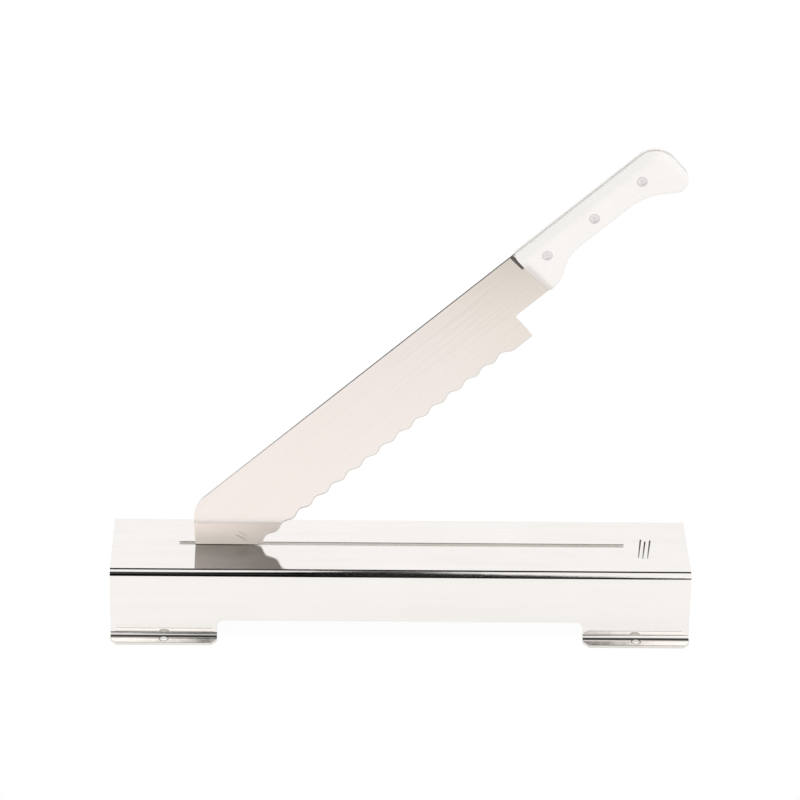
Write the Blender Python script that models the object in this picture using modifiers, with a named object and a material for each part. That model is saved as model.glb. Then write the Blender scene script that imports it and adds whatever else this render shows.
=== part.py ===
"""Salt cod cutter.

A long serrated knife is hinged at its tip between two lugs, under the slotted top
of a folded steel sheet that stands on four screw-down feet. Sizes are in metres.
X runs along the base towards the handle, Y away from the user, Z up. The origin
is on the table, under the middle of the base.
"""

import bmesh
import bpy
from math import acos, ceil, cos, hypot, pi, radians, sin, tan
from mathutils import Matrix, Vector

# Fits and fineness
GAP = 0.0003
ARC_TOLERANCE = 0.00003
ROUND_STEPS = 32
MERGE_DISTANCE = 0.00001

# Folded base
SHEET = 0.002
BASE_WIDTH = 0.080
BASE_HEIGHT = 0.052
TOP_BEND_RADIUS = 0.0042
TIP_END_MARGIN = 0.0467
HANDLE_END_MARGIN = 0.0445

# Feet, one flange at each corner, with the walls cut back between them
FOOT_LENGTH = 0.0735
FOOT_REACH = 0.011
FOOT_BEND_RADIUS = 0.003
FOOT_CORNER_LENGTH = 0.004
FOOT_CORNER_DEPTH = 0.0055
FOOT_HOLE_DIAMETER = 0.0056
FOOT_HOLE_INSET = 0.0055
ARCH_HEIGHT = 0.0135
ARCH_FILLET = 0.005

# Slot in the top: the clearance on each side of the knife, how far it runs past the
# pivot towards the tip, and the clearance past the heel of the closed blade
SLOT_SIDE_CLEARANCE = 0.0017
SLOT_TIP_REACH = 0.0332
SLOT_HEEL_CLEARANCE = 0.0063

# Pivot
BOLT_DIAMETER = 0.006
BOLT_HEAD_FLATS = 0.010
BOLT_HEAD_HEIGHT = 0.004
BOLT_OVERHANG = 0.002
NUT_HEIGHT = 0.005
HEX_CHAMFER = 0.0005
SPACER_THICKNESS = 0.001
SPACER_DIAMETER = 0.014
WASHER_THICKNESS = 0.0016
WASHER_DIAMETER = 0.012
LUG_THICKNESS = 0.003
LUG_LENGTH = 0.026
LUG_BELOW_PIVOT = 0.0085
LUG_FILLET = 0.008

# Knife, measured from the pivot along the blade and up to its back
KNIFE_ANGLE = radians(41.6)
BLADE_THICKNESS = 0.002
BACK_RISE = 0.0451
EDGE_DROP = 0.0077
TIP_BACK_REACH = 0.0085
TIP_SLOPE = radians(51)
TIP_BACK_FILLET = 0.021
TIP_EDGE_FILLET = 0.012
PLAIN_EDGE_REACH = 0.020
SCALLOP_PITCH = 0.01514
SCALLOP_DEPTH = 0.0023
SCALLOP_STEPS = 8
HEEL_REACH = 0.2691
HEEL_LENGTH = 0.0164
HEEL_RAMP = 0.0089
HEEL_DROP = 0.0016
NOTCH_FILLET = 0.003
NECK_LENGTH = 0.0298
GRIND_HEIGHT = 0.0113
GRIND_START = 0.014
EDGE_THICKNESS = 0.0003

# Handle, two scales on a full tang. Depths are measured from its top edge, the grip's
# front and the first rivet from its front end, and the rest from its butt end
HANDLE_LENGTH = 0.1248
FRONT_SQUARE_DEPTH = 0.010
FRONT_SLANT = 0.0024
FRONT_EDGE_FILLET = 0.06
FRONT_DEPTH = 0.0349
FRONT_SWELL_LENGTH = 0.0112
FRONT_SWELL_FILLET = 0.0198
GRIP_DEPTH = 0.0232
GRIP_FRONT = 0.02845
GRIP_FRONT_FILLET = 0.026
GRIP_REAR = 0.0303
GRIP_REAR_FILLET = 0.042
BUTT_DEPTH = 0.0369
BUTT_SWELL_LENGTH = 0.0118
BUTT_SWELL_FILLET = 0.006
BUTT_BOTTOM_FILLET = 0.0084
BUTT_TOP_FILLET = 0.0165
SCALE_THICKNESS = 0.0064
SCALE_ROUNDING = 0.004
ROUNDING_STEPS = 4
TANG_INSET = 0.0002

# Rivets, each a stud pressed into a sleeve
RIVET_COUNT = 3
RIVET_FIRST = 0.0175
RIVET_LAST = 0.0253
RIVET_DEPTH = 0.0127
RIVET_HEAD_DIAMETER = 0.0066
RIVET_HEAD_THICKNESS = 0.0015
RIVET_SLEEVE_DIAMETER = 0.0046
RIVET_STUD_DIAMETER = 0.0026

# Cutters reach this far past what they cut
OVERCUT = 0.002

# Places worked out from the sizes. The pivot lies as close under the top as its
# widest ring or nut allows, and the closed knife's neck comes to rest on the top
HEX_CORNER_RADIUS = BOLT_HEAD_FLATS / 2 / cos(pi / 6)
PIVOT_DROP = SHEET + GAP + max(SPACER_DIAMETER / 2, WASHER_DIAMETER / 2, HEX_CORNER_RADIUS)
SLOT_WIDTH = BLADE_THICKNESS + 2 * SLOT_SIDE_CLEARANCE
HEEL_BOTTOM = EDGE_DROP + HEEL_DROP
SLOT_LENGTH = SLOT_TIP_REACH + hypot(HEEL_REACH, HEEL_BOTTOM) + SLOT_HEEL_CLEARANCE
BASE_LENGTH = TIP_END_MARGIN + SLOT_LENGTH + HANDLE_END_MARGIN
SLOT_TIP_END = -BASE_LENGTH / 2 + TIP_END_MARGIN
SLOT_HANDLE_END = SLOT_TIP_END + SLOT_LENGTH
PIVOT_X = SLOT_TIP_END + SLOT_TIP_REACH
PIVOT_Z = BASE_HEIGHT - PIVOT_DROP
NECK_BOTTOM = PIVOT_DROP + GAP
HANDLE_FRONT = HEEL_REACH + NECK_LENGTH
HANDLE_END = HANDLE_FRONT + HANDLE_LENGTH
NECK_END = HANDLE_FRONT + FRONT_SLANT
SPACER_Y = BLADE_THICKNESS / 2 + GAP
LUG_Y = SPACER_Y + SPACER_THICKNESS + GAP
WASHER_Y = LUG_Y + LUG_THICKNESS + GAP
HEX_Y = WASHER_Y + WASHER_THICKNESS + GAP
SCALE_Y = BLADE_THICKNESS / 2 + GAP
HANDLE_SIDE = SCALE_Y + SCALE_THICKNESS
RIVET_PITCH = (HANDLE_LENGTH - RIVET_FIRST - RIVET_LAST) / (RIVET_COUNT - 1)

# Turns that carry a shape drawn in X and Y into the upright plane of the knife,
# and a shape turned about Z onto an axis that runs along Y
UPRIGHT = Matrix.Rotation(radians(90), 4, "X")
LEVEL = Matrix.Identity(4)
ALONG_Y = Matrix.Rotation(radians(-90), 4, "X")


def clear_scene():
    for leftover in list(bpy.data.objects):
        bpy.data.objects.remove(leftover)


def new_collection(name):
    collection = bpy.data.collections.new(name)
    bpy.context.scene.collection.children.link(collection)
    return collection


def new_material(name, colour, roughness, metallic):
    material = bpy.data.materials.new(name)
    material.use_nodes = True
    shader = material.node_tree.nodes["Principled BSDF"]
    shader.inputs["Base Color"].default_value = (*colour, 1)
    shader.inputs["Roughness"].default_value = roughness
    shader.inputs["Metallic"].default_value = metallic
    return material


def filleted(corners, closed=True):
    """Points of an outline whose corners are given as (x, y, fillet radius).

    Two fillets that would meet on the line between them share its length.
    """
    spots = [Vector(corner[:2]) for corner in corners]
    count = len(spots)
    backs = [spots[index - 1] - spots[index] for index in range(count)]
    aheads = [spots[(index + 1) % count] - spots[index] for index in range(count)]
    half_angles = [back.angle(ahead) / 2 for back, ahead in zip(backs, aheads)]
    reaches = [
        corner[2] / tan(half) if corner[2] else 0 for corner, half in zip(corners, half_angles)
    ]
    if not closed:
        reaches[0] = 0
        reaches[-1] = 0
    points = []
    for index, corner in enumerate(spots):
        if reaches[index] == 0:
            points.append(corner)
            continue
        back_share = reaches[index] + reaches[index - 1]
        ahead_share = reaches[index] + reaches[(index + 1) % count]
        room = min(1, backs[index].length / back_share, aheads[index].length / ahead_share)
        reach = reaches[index] * room
        radius = corners[index][2] * room
        back = backs[index].normalized()
        ahead = aheads[index].normalized()
        centre = corner + (back + ahead).normalized() * radius / sin(half_angles[index])
        arc_start = corner + back * reach - centre
        sweep = (pi - 2 * half_angles[index]) * (1 if back.cross(ahead) < 0 else -1)
        step = 2 * acos(1 - min(ARC_TOLERANCE / radius, 1))
        steps = max(2, ceil(abs(sweep) / step))
        for stop in range(steps + 1):
            points.append(centre + Matrix.Rotation(sweep * stop / steps, 2) @ arc_start)
    return points


def put(name, mesh, collection, material=None, parent=None):
    piece = bpy.data.objects.new(name, mesh)
    collection.objects.link(piece)
    piece.parent = parent
    if material:
        mesh.materials.clear()
        mesh.materials.append(material)
    return piece


def as_cutter(cutter):
    cutter.display_type = "WIRE"
    cutter.hide_render = True
    return cutter


def plate_mesh(name, outline, thickness, turn):
    """A flat plate of one outline, centred on its own plane."""
    curve = bpy.data.curves.new(name, "CURVE")
    curve.dimensions = "2D"
    curve.fill_mode = "BOTH"
    curve.extrude = thickness / 2
    spline = curve.splines.new("POLY")
    spline.points.add(len(outline) - 1)
    for spot, (x, y) in zip(spline.points, outline):
        spot.co = (x, y, 0, 1)
    spline.use_cyclic_u = True
    drawing = bpy.data.objects.new(name + "_outline", curve)
    bpy.context.scene.collection.objects.link(drawing)
    depsgraph = bpy.context.evaluated_depsgraph_get()
    mesh = bpy.data.meshes.new_from_object(drawing.evaluated_get(depsgraph))
    mesh.transform(turn @ drawing.matrix_world)
    bpy.data.objects.remove(drawing)
    shape = bmesh.new()
    shape.from_mesh(mesh)
    bmesh.ops.remove_doubles(shape, verts=shape.verts, dist=MERGE_DISTANCE)
    bmesh.ops.dissolve_limit(shape, angle_limit=radians(0.1), verts=shape.verts, edges=shape.edges)
    bmesh.ops.recalc_face_normals(shape, faces=shape.faces)
    shape.to_mesh(mesh)
    shape.free()
    return mesh


def folded_mesh(name, section, length):
    """A bent sheet's outer surface: a section in Y and Z drawn out along X."""
    mesh = bpy.data.meshes.new(name)
    shape = bmesh.new()
    row = [shape.verts.new((-length / 2, y, z)) for y, z in section]
    edges = [shape.edges.new(pair) for pair in zip(row, row[1:])]
    drawn = bmesh.ops.extrude_edge_only(shape, edges=edges)["geom"]
    far_side = [item for item in drawn if isinstance(item, bmesh.types.BMVert)]
    bmesh.ops.translate(shape, verts=far_side, vec=(length, 0, 0))
    shape.normal_update()
    top = max(shape.faces, key=lambda face: face.calc_center_median().z)
    if top.normal.z < 0:
        bmesh.ops.reverse_faces(shape, faces=shape.faces)
    shape.to_mesh(mesh)
    shape.free()
    return mesh


def turned(name, profile, collection, material=None, parent=None, closed=False):
    """A shape turned about Z from a profile of (radius, height), outer side downwards."""
    mesh = bpy.data.meshes.new(name)
    spots = [(radius, 0, height) for radius, height in profile]
    edges = [(index, index + 1) for index in range(len(spots) - 1)]
    if closed:
        edges.append((len(spots) - 1, 0))
    mesh.from_pydata(spots, edges, [])
    piece = put(name, mesh, collection, material, parent)
    screw = piece.modifiers.new("Turn", "SCREW")
    screw.steps = ROUND_STEPS
    screw.render_steps = ROUND_STEPS
    screw.use_merge_vertices = True
    screw.merge_threshold = MERGE_DISTANCE
    return piece


def boolean(piece, other, operation="DIFFERENCE"):
    modifier = piece.modifiers.new(other.name, "BOOLEAN")
    modifier.operation = operation
    modifier.object = other


def rod_profile(radius, top, bottom, chamfer=0.0):
    """A solid round bar's profile between two heights."""
    profile = [(0, top), (radius - chamfer, top)]
    if chamfer:
        profile.append((radius, top - chamfer))
    return profile + [(radius, bottom), (0, bottom)]


def ring_profile(inner, outer, top, bottom):
    return [(outer, top), (outer, bottom), (inner, bottom), (inner, top)]


def rod_cutter(name, radius, top, bottom, parent=None):
    cutter = turned(name, rod_profile(radius, top, bottom), cutters, parent=parent)
    return as_cutter(cutter)


def pivot_rod_cutter(name, half_length, parent=None):
    """The bolt's clearance hole, along Y through the pivot."""
    cutter = rod_cutter(name, BOLT_DIAMETER / 2 + GAP, half_length, -half_length, parent)
    cutter.rotation_euler = ALONG_Y.to_euler()
    if parent is None:
        cutter.location = (PIVOT_X, 0, PIVOT_Z)
    return cutter


def base_section():
    """The outer face of the folded sheet, from the front foot over the top to the rear foot."""
    side = BASE_WIDTH / 2
    reach = side + FOOT_REACH
    return filleted(
        [
            (-reach, SHEET, 0),
            (-side, SHEET, FOOT_BEND_RADIUS),
            (-side, BASE_HEIGHT, TOP_BEND_RADIUS),
            (side, BASE_HEIGHT, TOP_BEND_RADIUS),
            (side, SHEET, FOOT_BEND_RADIUS),
            (reach, SHEET, 0),
        ],
        closed=False,
    )


def make_slot_cutter():
    round_end = SLOT_WIDTH / 2
    outline = filleted(
        [
            (SLOT_TIP_END, -round_end, round_end),
            (SLOT_HANDLE_END, -round_end, round_end),
            (SLOT_HANDLE_END, round_end, round_end),
            (SLOT_TIP_END, round_end, round_end),
        ]
    )
    mesh = plate_mesh("slot_cutter", outline, SHEET + 2 * OVERCUT, LEVEL)
    cutter = put("slot_cutter", mesh, cutters)
    cutter.location.z = BASE_HEIGHT - SHEET / 2
    return as_cutter(cutter)


def make_arch_cutter():
    """Opens both walls between the feet."""
    end = BASE_LENGTH / 2 - FOOT_LENGTH
    outline = filleted(
        [
            (-end, -OVERCUT, 0),
            (end, -OVERCUT, 0),
            (end, ARCH_HEIGHT, ARCH_FILLET),
            (-end, ARCH_HEIGHT, ARCH_FILLET),
        ]
    )
    width = BASE_WIDTH + 2 * (FOOT_REACH + OVERCUT)
    return as_cutter(put("arch_cutter", plate_mesh("arch_cutter", outline, width, UPRIGHT), cutters))


def make_foot_corner_cutter(name, corner_x, corner_y, towards_x, towards_y):
    """Takes a slanted piece off one outer corner of a foot."""
    along = FOOT_CORNER_LENGTH * towards_x
    across = FOOT_CORNER_DEPTH * towards_y
    outline = [
        (corner_x + along, corner_y),
        (corner_x + 2 * along, corner_y - across),
        (corner_x - along, corner_y - across),
        (corner_x - along, corner_y + 2 * across),
        (corner_x, corner_y + across),
    ]
    mesh = plate_mesh(name, outline, SHEET + 2 * OVERCUT, LEVEL)
    cutter = put(name, mesh, cutters)
    cutter.location.z = SHEET / 2
    return as_cutter(cutter)


def make_base():
    """The folded sheet with its slot, arches, feet and screw holes."""
    mesh = folded_mesh("base_sheet", base_section(), BASE_LENGTH)
    base = put("base_sheet", mesh, parts, polished_steel)
    solidify = base.modifiers.new("Sheet", "SOLIDIFY")
    solidify.thickness = SHEET
    solidify.offset = -1
    solidify.use_even_offset = True
    boolean(base, make_slot_cutter())
    boolean(base, make_arch_cutter())

    foot_edge = BASE_WIDTH / 2 + FOOT_REACH
    outer_end = BASE_LENGTH / 2
    inner_end = outer_end - FOOT_LENGTH
    hole_x = outer_end - FOOT_LENGTH / 2
    hole_y = foot_edge - FOOT_HOLE_INSET
    for end_name, end in (("tip", -1), ("handle", 1)):
        for side_name, side in (("front", -1), ("rear", 1)):
            place = f"{end_name}_{side_name}"
            outer = make_foot_corner_cutter(
                f"outer_corner_{place}", end * outer_end, side * foot_edge, -end, -side
            )
            inner = make_foot_corner_cutter(
                f"inner_corner_{place}", end * inner_end, side * foot_edge, end, -side
            )
            hole = rod_cutter(f"foot_hole_{place}", FOOT_HOLE_DIAMETER / 2, OVERCUT, -SHEET - OVERCUT)
            hole.location = (end * hole_x, side * hole_y, SHEET)
            boolean(base, outer)
            boolean(base, inner)
            boolean(base, hole)
    return base


def make_lug(side_name, side, hole):
    """A plate welded on edge under the top, which carries one end of the bolt."""
    top = BASE_HEIGHT - SHEET - GAP - PIVOT_Z
    half = LUG_LENGTH / 2
    outline = filleted(
        [
            (-half, -LUG_BELOW_PIVOT, LUG_FILLET),
            (half, -LUG_BELOW_PIVOT, LUG_FILLET),
            (half, top, 0),
            (-half, top, 0),
        ]
    )
    mesh = plate_mesh(f"lug_{side_name}", outline, LUG_THICKNESS, UPRIGHT)
    lug = put(f"lug_{side_name}", mesh, parts, brushed_steel)
    lug.location = (PIVOT_X, side * (LUG_Y + LUG_THICKNESS / 2), PIVOT_Z)
    boolean(lug, hole)
    return lug


def make_ring(name, outer_diameter, thickness, inner_face, side, material):
    """A washer on the bolt, its inner face that far from the middle plane."""
    bore = BOLT_DIAMETER / 2 + GAP
    profile = ring_profile(bore, outer_diameter / 2, thickness / 2, -thickness / 2)
    ring = turned(name, profile, parts, material, closed=True)
    ring.rotation_euler = ALONG_Y.to_euler()
    ring.location = (PIVOT_X, side * (inner_face + thickness / 2), PIVOT_Z)
    return ring


def make_hex(name, height, inner_face, side):
    """A six-sided bar cut to length by a turned blank that takes off its corners' ends."""
    mesh = bpy.data.meshes.new(name)
    shape = bmesh.new()
    bmesh.ops.create_cone(
        shape,
        cap_ends=True,
        segments=6,
        radius1=HEX_CORNER_RADIUS,
        radius2=HEX_CORNER_RADIUS,
        depth=height + 2 * OVERCUT,
    )
    shape.to_mesh(mesh)
    shape.free()
    hexagon = put(name, mesh, parts, brushed_steel)
    rim = HEX_CORNER_RADIUS - HEX_CHAMFER
    waist = HEX_CORNER_RADIUS + HEX_CHAMFER
    profile = [
        (0, height / 2),
        (rim, height / 2),
        (waist, height / 2 - HEX_CHAMFER),
        (waist, -height / 2 + HEX_CHAMFER),
        (rim, -height / 2),
        (0, -height / 2),
    ]
    blank = as_cutter(turned(name + "_blank", profile, cutters))
    for item in (hexagon, blank):
        item.rotation_euler = ALONG_Y.to_euler()
        item.location = (PIVOT_X, side * (inner_face + height / 2), PIVOT_Z)
    boolean(hexagon, blank, "INTERSECT")
    return hexagon


def make_bolt():
    bolt = make_hex("pivot_bolt", BOLT_HEAD_HEIGHT, HEX_Y, -1)
    end = HEX_Y + NUT_HEIGHT + BOLT_OVERHANG
    start = HEX_Y + BOLT_HEAD_HEIGHT / 2
    shank = turned(
        "bolt_shank", rod_profile(BOLT_DIAMETER / 2, end, -start, HEX_CHAMFER), cutters
    )
    shank.rotation_euler = ALONG_Y.to_euler()
    shank.location = (PIVOT_X, 0, PIVOT_Z)
    boolean(bolt, as_cutter(shank), "UNION")
    return bolt


def make_pivot():
    """The lugs, bolt, nut and washers that carry the knife."""
    hole = pivot_rod_cutter("lug_hole", HEX_Y + NUT_HEIGHT + OVERCUT)
    for side_name, side in (("front", -1), ("rear", 1)):
        make_lug(side_name, side, hole)
        make_ring(f"spacer_{side_name}", SPACER_DIAMETER, SPACER_THICKNESS, SPACER_Y, side, nylon)
        make_ring(
            f"washer_{side_name}", WASHER_DIAMETER, WASHER_THICKNESS, WASHER_Y, side, brushed_steel
        )
    make_bolt()
    nut = make_hex("pivot_nut", NUT_HEIGHT, HEX_Y, 1)
    boolean(nut, hole)


def grip_outline(inset=0.0):
    """From the handle's front bottom corner, under the grip and over the butt, to its front top."""
    top = BACK_RISE - inset
    front_bottom = BACK_RISE - FRONT_DEPTH + inset
    grip = BACK_RISE - GRIP_DEPTH + inset
    butt_bottom = BACK_RISE - BUTT_DEPTH + inset
    end = HANDLE_END - inset
    return filleted(
        [
            (NECK_END, front_bottom, 0),
            (HANDLE_FRONT + FRONT_SWELL_LENGTH, front_bottom, FRONT_SWELL_FILLET),
            (HANDLE_FRONT + GRIP_FRONT, grip, GRIP_FRONT_FILLET),
            (HANDLE_END - GRIP_REAR, grip, GRIP_REAR_FILLET),
            (HANDLE_END - BUTT_SWELL_LENGTH, butt_bottom, BUTT_SWELL_FILLET),
            (end, butt_bottom, BUTT_BOTTOM_FILLET),
            (end, top, BUTT_TOP_FILLET),
            (HANDLE_FRONT, top, 0),
        ],
        closed=False,
    )


def scale_outline():
    """The grip's outline, closed by a front edge that is square above and slants below."""
    front_edge = filleted(
        [
            (HANDLE_FRONT, BACK_RISE, 0),
            (HANDLE_FRONT, BACK_RISE - FRONT_SQUARE_DEPTH, FRONT_EDGE_FILLET),
            (NECK_END, BACK_RISE - FRONT_DEPTH, 0),
        ],
        closed=False,
    )
    return grip_outline() + front_edge[1:-1]


def edge_wave():
    """The scalloped cutting edge, from its crest nearest the tip to the flat heel.

    Whole scallops and a last half one fit between the plain edge and the heel.
    """
    last_valley = HEEL_REACH - HEEL_LENGTH - HEEL_RAMP
    whole_scallops = int((last_valley - PLAIN_EDGE_REACH) / SCALLOP_PITCH - 0.5)
    wave_steps = int((whole_scallops + 0.5) * SCALLOP_STEPS)
    first_crest = last_valley - SCALLOP_PITCH * wave_steps / SCALLOP_STEPS
    points = []
    for step in range(wave_steps):
        turn = 2 * pi * step / SCALLOP_STEPS
        rise = SCALLOP_DEPTH * (1 - cos(turn)) / 2
        points.append((first_crest + SCALLOP_PITCH * step / SCALLOP_STEPS, rise - EDGE_DROP))
    ramp_rise = SCALLOP_DEPTH + HEEL_DROP
    ramp_steps = SCALLOP_STEPS // 2
    for step in range(ramp_steps + 1):
        share = (1 + cos(pi * step / ramp_steps)) / 2
        points.append((last_valley + HEEL_RAMP * step / ramp_steps, ramp_rise * share - HEEL_BOTTOM))
    return points


def blade_outline():
    """Blade and full tang in one, round by the tip, the edge, the notch and the handle."""
    slope_run = (BACK_RISE + EDGE_DROP) / tan(TIP_SLOPE)
    tip = filleted(
        [
            (HANDLE_FRONT, BACK_RISE, 0),
            (TIP_BACK_REACH, BACK_RISE, TIP_BACK_FILLET),
            (TIP_BACK_REACH - slope_run, -EDGE_DROP, TIP_EDGE_FILLET),
            (GRIND_START, -EDGE_DROP, 0),
        ],
        closed=False,
    )
    notch = filleted(
        [
            (HEEL_REACH, -HEEL_BOTTOM, 0),
            (HEEL_REACH, NECK_BOTTOM, NOTCH_FILLET),
            (NECK_END, NECK_BOTTOM, 0),
        ],
        closed=False,
    )
    return tip[:-1] + edge_wave() + notch + grip_outline(TANG_INSET)


def make_grind_cutter(side_name, side):
    """Thins one face of the blade towards its cutting edge."""
    half = BLADE_THICKNESS / 2
    half_edge = EDGE_THICKNESS / 2
    slope = (half - half_edge) / GRIND_HEIGHT
    low = -HEEL_BOTTOM - OVERCUT / 2
    high = -HEEL_BOTTOM + GRIND_HEIGHT + OVERCUT
    section = [
        (side * (half_edge - slope * OVERCUT / 2), low),
        (side * (half + slope * OVERCUT), high),
        (side * (half + 2 * OVERCUT), high),
        (side * (half + 2 * OVERCUT), low),
    ]
    length = HEEL_REACH + OVERCUT - GRIND_START
    along_x = Matrix.Rotation(radians(90), 4, "Z") @ UPRIGHT
    mesh = plate_mesh(f"grind_cutter_{side_name}", section, length, along_x)
    cutter = put(f"grind_cutter_{side_name}", mesh, cutters, parent=knife_pivot)
    cutter.location.x = GRIND_START + length / 2
    return as_cutter(cutter)


def rivet_places():
    for index in range(RIVET_COUNT):
        along = HANDLE_FRONT + RIVET_FIRST + index * RIVET_PITCH
        yield index + 1, Vector((along, 0, BACK_RISE - RIVET_DEPTH))


def make_rivet_cutter(number, place):
    """A rivet's stepped hole through both scales and the tang."""
    head = RIVET_HEAD_DIAMETER / 2 + GAP
    bore = RIVET_SLEEVE_DIAMETER / 2 + GAP
    seat = HANDLE_SIDE - RIVET_HEAD_THICKNESS - GAP
    outside = HANDLE_SIDE + OVERCUT
    profile = [
        (0, outside),
        (head, outside),
        (head, seat),
        (bore, seat),
        (bore, -seat),
        (head, -seat),
        (head, -outside),
        (0, -outside),
    ]
    cutter = turned(f"rivet_hole_{number}", profile, cutters, parent=knife_pivot)
    cutter.rotation_euler = ALONG_Y.to_euler()
    cutter.location = place
    return as_cutter(cutter)


def make_rivet(number, place):
    """A stud from the rear whose shank lies in a sleeve from the front."""
    head = RIVET_HEAD_DIAMETER / 2
    under_head = HANDLE_SIDE - RIVET_HEAD_THICKNESS
    sleeve = RIVET_SLEEVE_DIAMETER / 2
    shank = RIVET_STUD_DIAMETER / 2
    stud_profile = [
        (0, HANDLE_SIDE),
        (head, HANDLE_SIDE),
        (head, under_head),
        (shank, under_head),
        (shank, -under_head + GAP),
        (0, -under_head + GAP),
    ]
    sleeve_profile = [
        (shank + GAP, under_head - GAP),
        (sleeve, under_head - GAP),
        (sleeve, -under_head),
        (head, -under_head),
        (head, -HANDLE_SIDE),
        (0, -HANDLE_SIDE),
        (0, -under_head),
        (shank + GAP, -under_head),
    ]
    for half_name, profile in (("stud", stud_profile), ("sleeve", sleeve_profile)):
        closed = half_name == "sleeve"
        rivet = turned(
            f"rivet_{number}_{half_name}", profile, parts, brushed_steel, knife_pivot, closed
        )
        rivet.rotation_euler = ALONG_Y.to_euler()
        rivet.location = place


def make_blade(rivet_holes):
    mesh = plate_mesh("blade", blade_outline(), BLADE_THICKNESS, UPRIGHT)
    blade = put("blade", mesh, parts, polished_steel, knife_pivot)
    boolean(blade, make_grind_cutter("front", -1))
    boolean(blade, make_grind_cutter("rear", 1))
    boolean(blade, pivot_rod_cutter("blade_hole", BLADE_THICKNESS / 2 + OVERCUT, knife_pivot))
    for hole in rivet_holes:
        boolean(blade, hole)
    return blade


def make_scale(side_name, side, rivet_holes):
    """One half of the handle, its long outer edges rounded and its front end flat."""
    name = f"scale_{side_name}"
    mesh = plate_mesh(name, scale_outline(), SCALE_THICKNESS, UPRIGHT)
    shape = bmesh.new()
    shape.from_mesh(mesh)
    weight = shape.edges.layers.float.new("bevel_weight_edge")
    outer_face = side * SCALE_THICKNESS / 2
    front_reach = NECK_END + GAP
    for edge in shape.edges:
        on_outer_face = all(abs(spot.co.y - outer_face) < GAP for spot in edge.verts)
        on_front_end = all(spot.co.x < front_reach for spot in edge.verts)
        if on_outer_face and not on_front_end:
            edge[weight] = 1
    shape.to_mesh(mesh)
    shape.free()
    scale = put(name, mesh, parts, white_plastic, knife_pivot)
    scale.location.y = side * (SCALE_Y + SCALE_THICKNESS / 2)
    rounding = scale.modifiers.new("Rounding", "BEVEL")
    rounding.limit_method = "WEIGHT"
    rounding.width = min(SCALE_ROUNDING, SCALE_THICKNESS - GAP, BUTT_SWELL_FILLET - GAP)
    rounding.segments = ROUNDING_STEPS
    for hole in rivet_holes:
        boolean(scale, hole)
    return scale


def make_knife():
    """The serrated blade, its handle scales and rivets, all on the pivot."""
    rivet_holes = [make_rivet_cutter(number, place) for number, place in rivet_places()]
    make_blade(rivet_holes)
    make_scale("front", -1, rivet_holes)
    make_scale("rear", 1, rivet_holes)
    for number, place in rivet_places():
        make_rivet(number, place)


def make_knife_pivot():
    pivot = bpy.data.objects.new("knife_pivot", None)
    pivot.empty_display_size = BOLT_DIAMETER
    pivot.location = (PIVOT_X, 0, PIVOT_Z)
    pivot.rotation_euler.y = -KNIFE_ANGLE
    parts.objects.link(pivot)
    return pivot


clear_scene()
parts = new_collection("salt_cod_cutter")
cutters = new_collection("cutters")
polished_steel = new_material("polished_steel", (0.80, 0.79, 0.77), 0.08, 1.0)
brushed_steel = new_material("brushed_steel", (0.62, 0.62, 0.61), 0.35, 1.0)
white_plastic = new_material("white_plastic", (0.88, 0.88, 0.86), 0.35, 0.0)
nylon = new_material("nylon", (0.82, 0.81, 0.76), 0.5, 0.0)
knife_pivot = make_knife_pivot()
make_base()
make_pivot()
make_knife()
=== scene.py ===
"""Salt cod cutter, dressed for a picture.

The folded base, the knife and the pivot get their smooth shapes and finishes here.
Sizes are in metres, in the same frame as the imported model. The knife is drawn flat,
with its length along X from the pivot and its back upwards, and is then turned up
about the pivot.
"""

import bmesh
import bpy
from math import atan2, cos, pi, radians, sin, tan
from mathutils import Matrix, Vector


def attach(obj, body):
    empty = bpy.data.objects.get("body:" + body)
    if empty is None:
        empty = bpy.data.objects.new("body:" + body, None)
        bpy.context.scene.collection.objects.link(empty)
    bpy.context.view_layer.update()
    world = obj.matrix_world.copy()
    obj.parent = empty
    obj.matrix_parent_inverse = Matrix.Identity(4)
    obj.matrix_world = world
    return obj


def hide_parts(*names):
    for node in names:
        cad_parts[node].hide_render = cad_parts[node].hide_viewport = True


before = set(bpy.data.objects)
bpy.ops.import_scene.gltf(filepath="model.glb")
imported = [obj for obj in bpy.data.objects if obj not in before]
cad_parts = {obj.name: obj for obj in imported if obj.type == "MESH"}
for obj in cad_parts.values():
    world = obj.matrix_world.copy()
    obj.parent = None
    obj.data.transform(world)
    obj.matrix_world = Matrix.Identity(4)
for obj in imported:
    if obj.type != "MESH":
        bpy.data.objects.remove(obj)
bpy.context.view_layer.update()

# Fineness
BEND_STEPS = 20
CORNER_STEPS = 12
ARC_STEP = radians(6)
ROUND_SIDES = 64
RIVET_SIDES = 48
MERGE_DISTANCE = 0.000005

# Edges sharper than this stay sharp when a piece is shaded smooth
SMOOTH_ANGLE = radians(35)
FASTENER_SMOOTH_ANGLE = radians(25)
BLADE_SMOOTH_ANGLE = radians(8)

# A face looks along an axis when its normal has this share of it, and an edge lies at
# a piece's end when it is this share of the way out
FACING = 0.9
FAR_OUT = 0.9

# How far a cutter runs past what it cuts, and the room between pieces
OVERCUT = 0.002
GAP = 0.0003
CLOSE_GAP = 0.0001

# The table: its front end, its far end, its width and how far it lies under the feet
TABLE_FRONT = -0.155
TABLE_REAR = 1.5
TABLE_WIDTH = 3
TABLE_DROP = 0.0001

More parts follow.
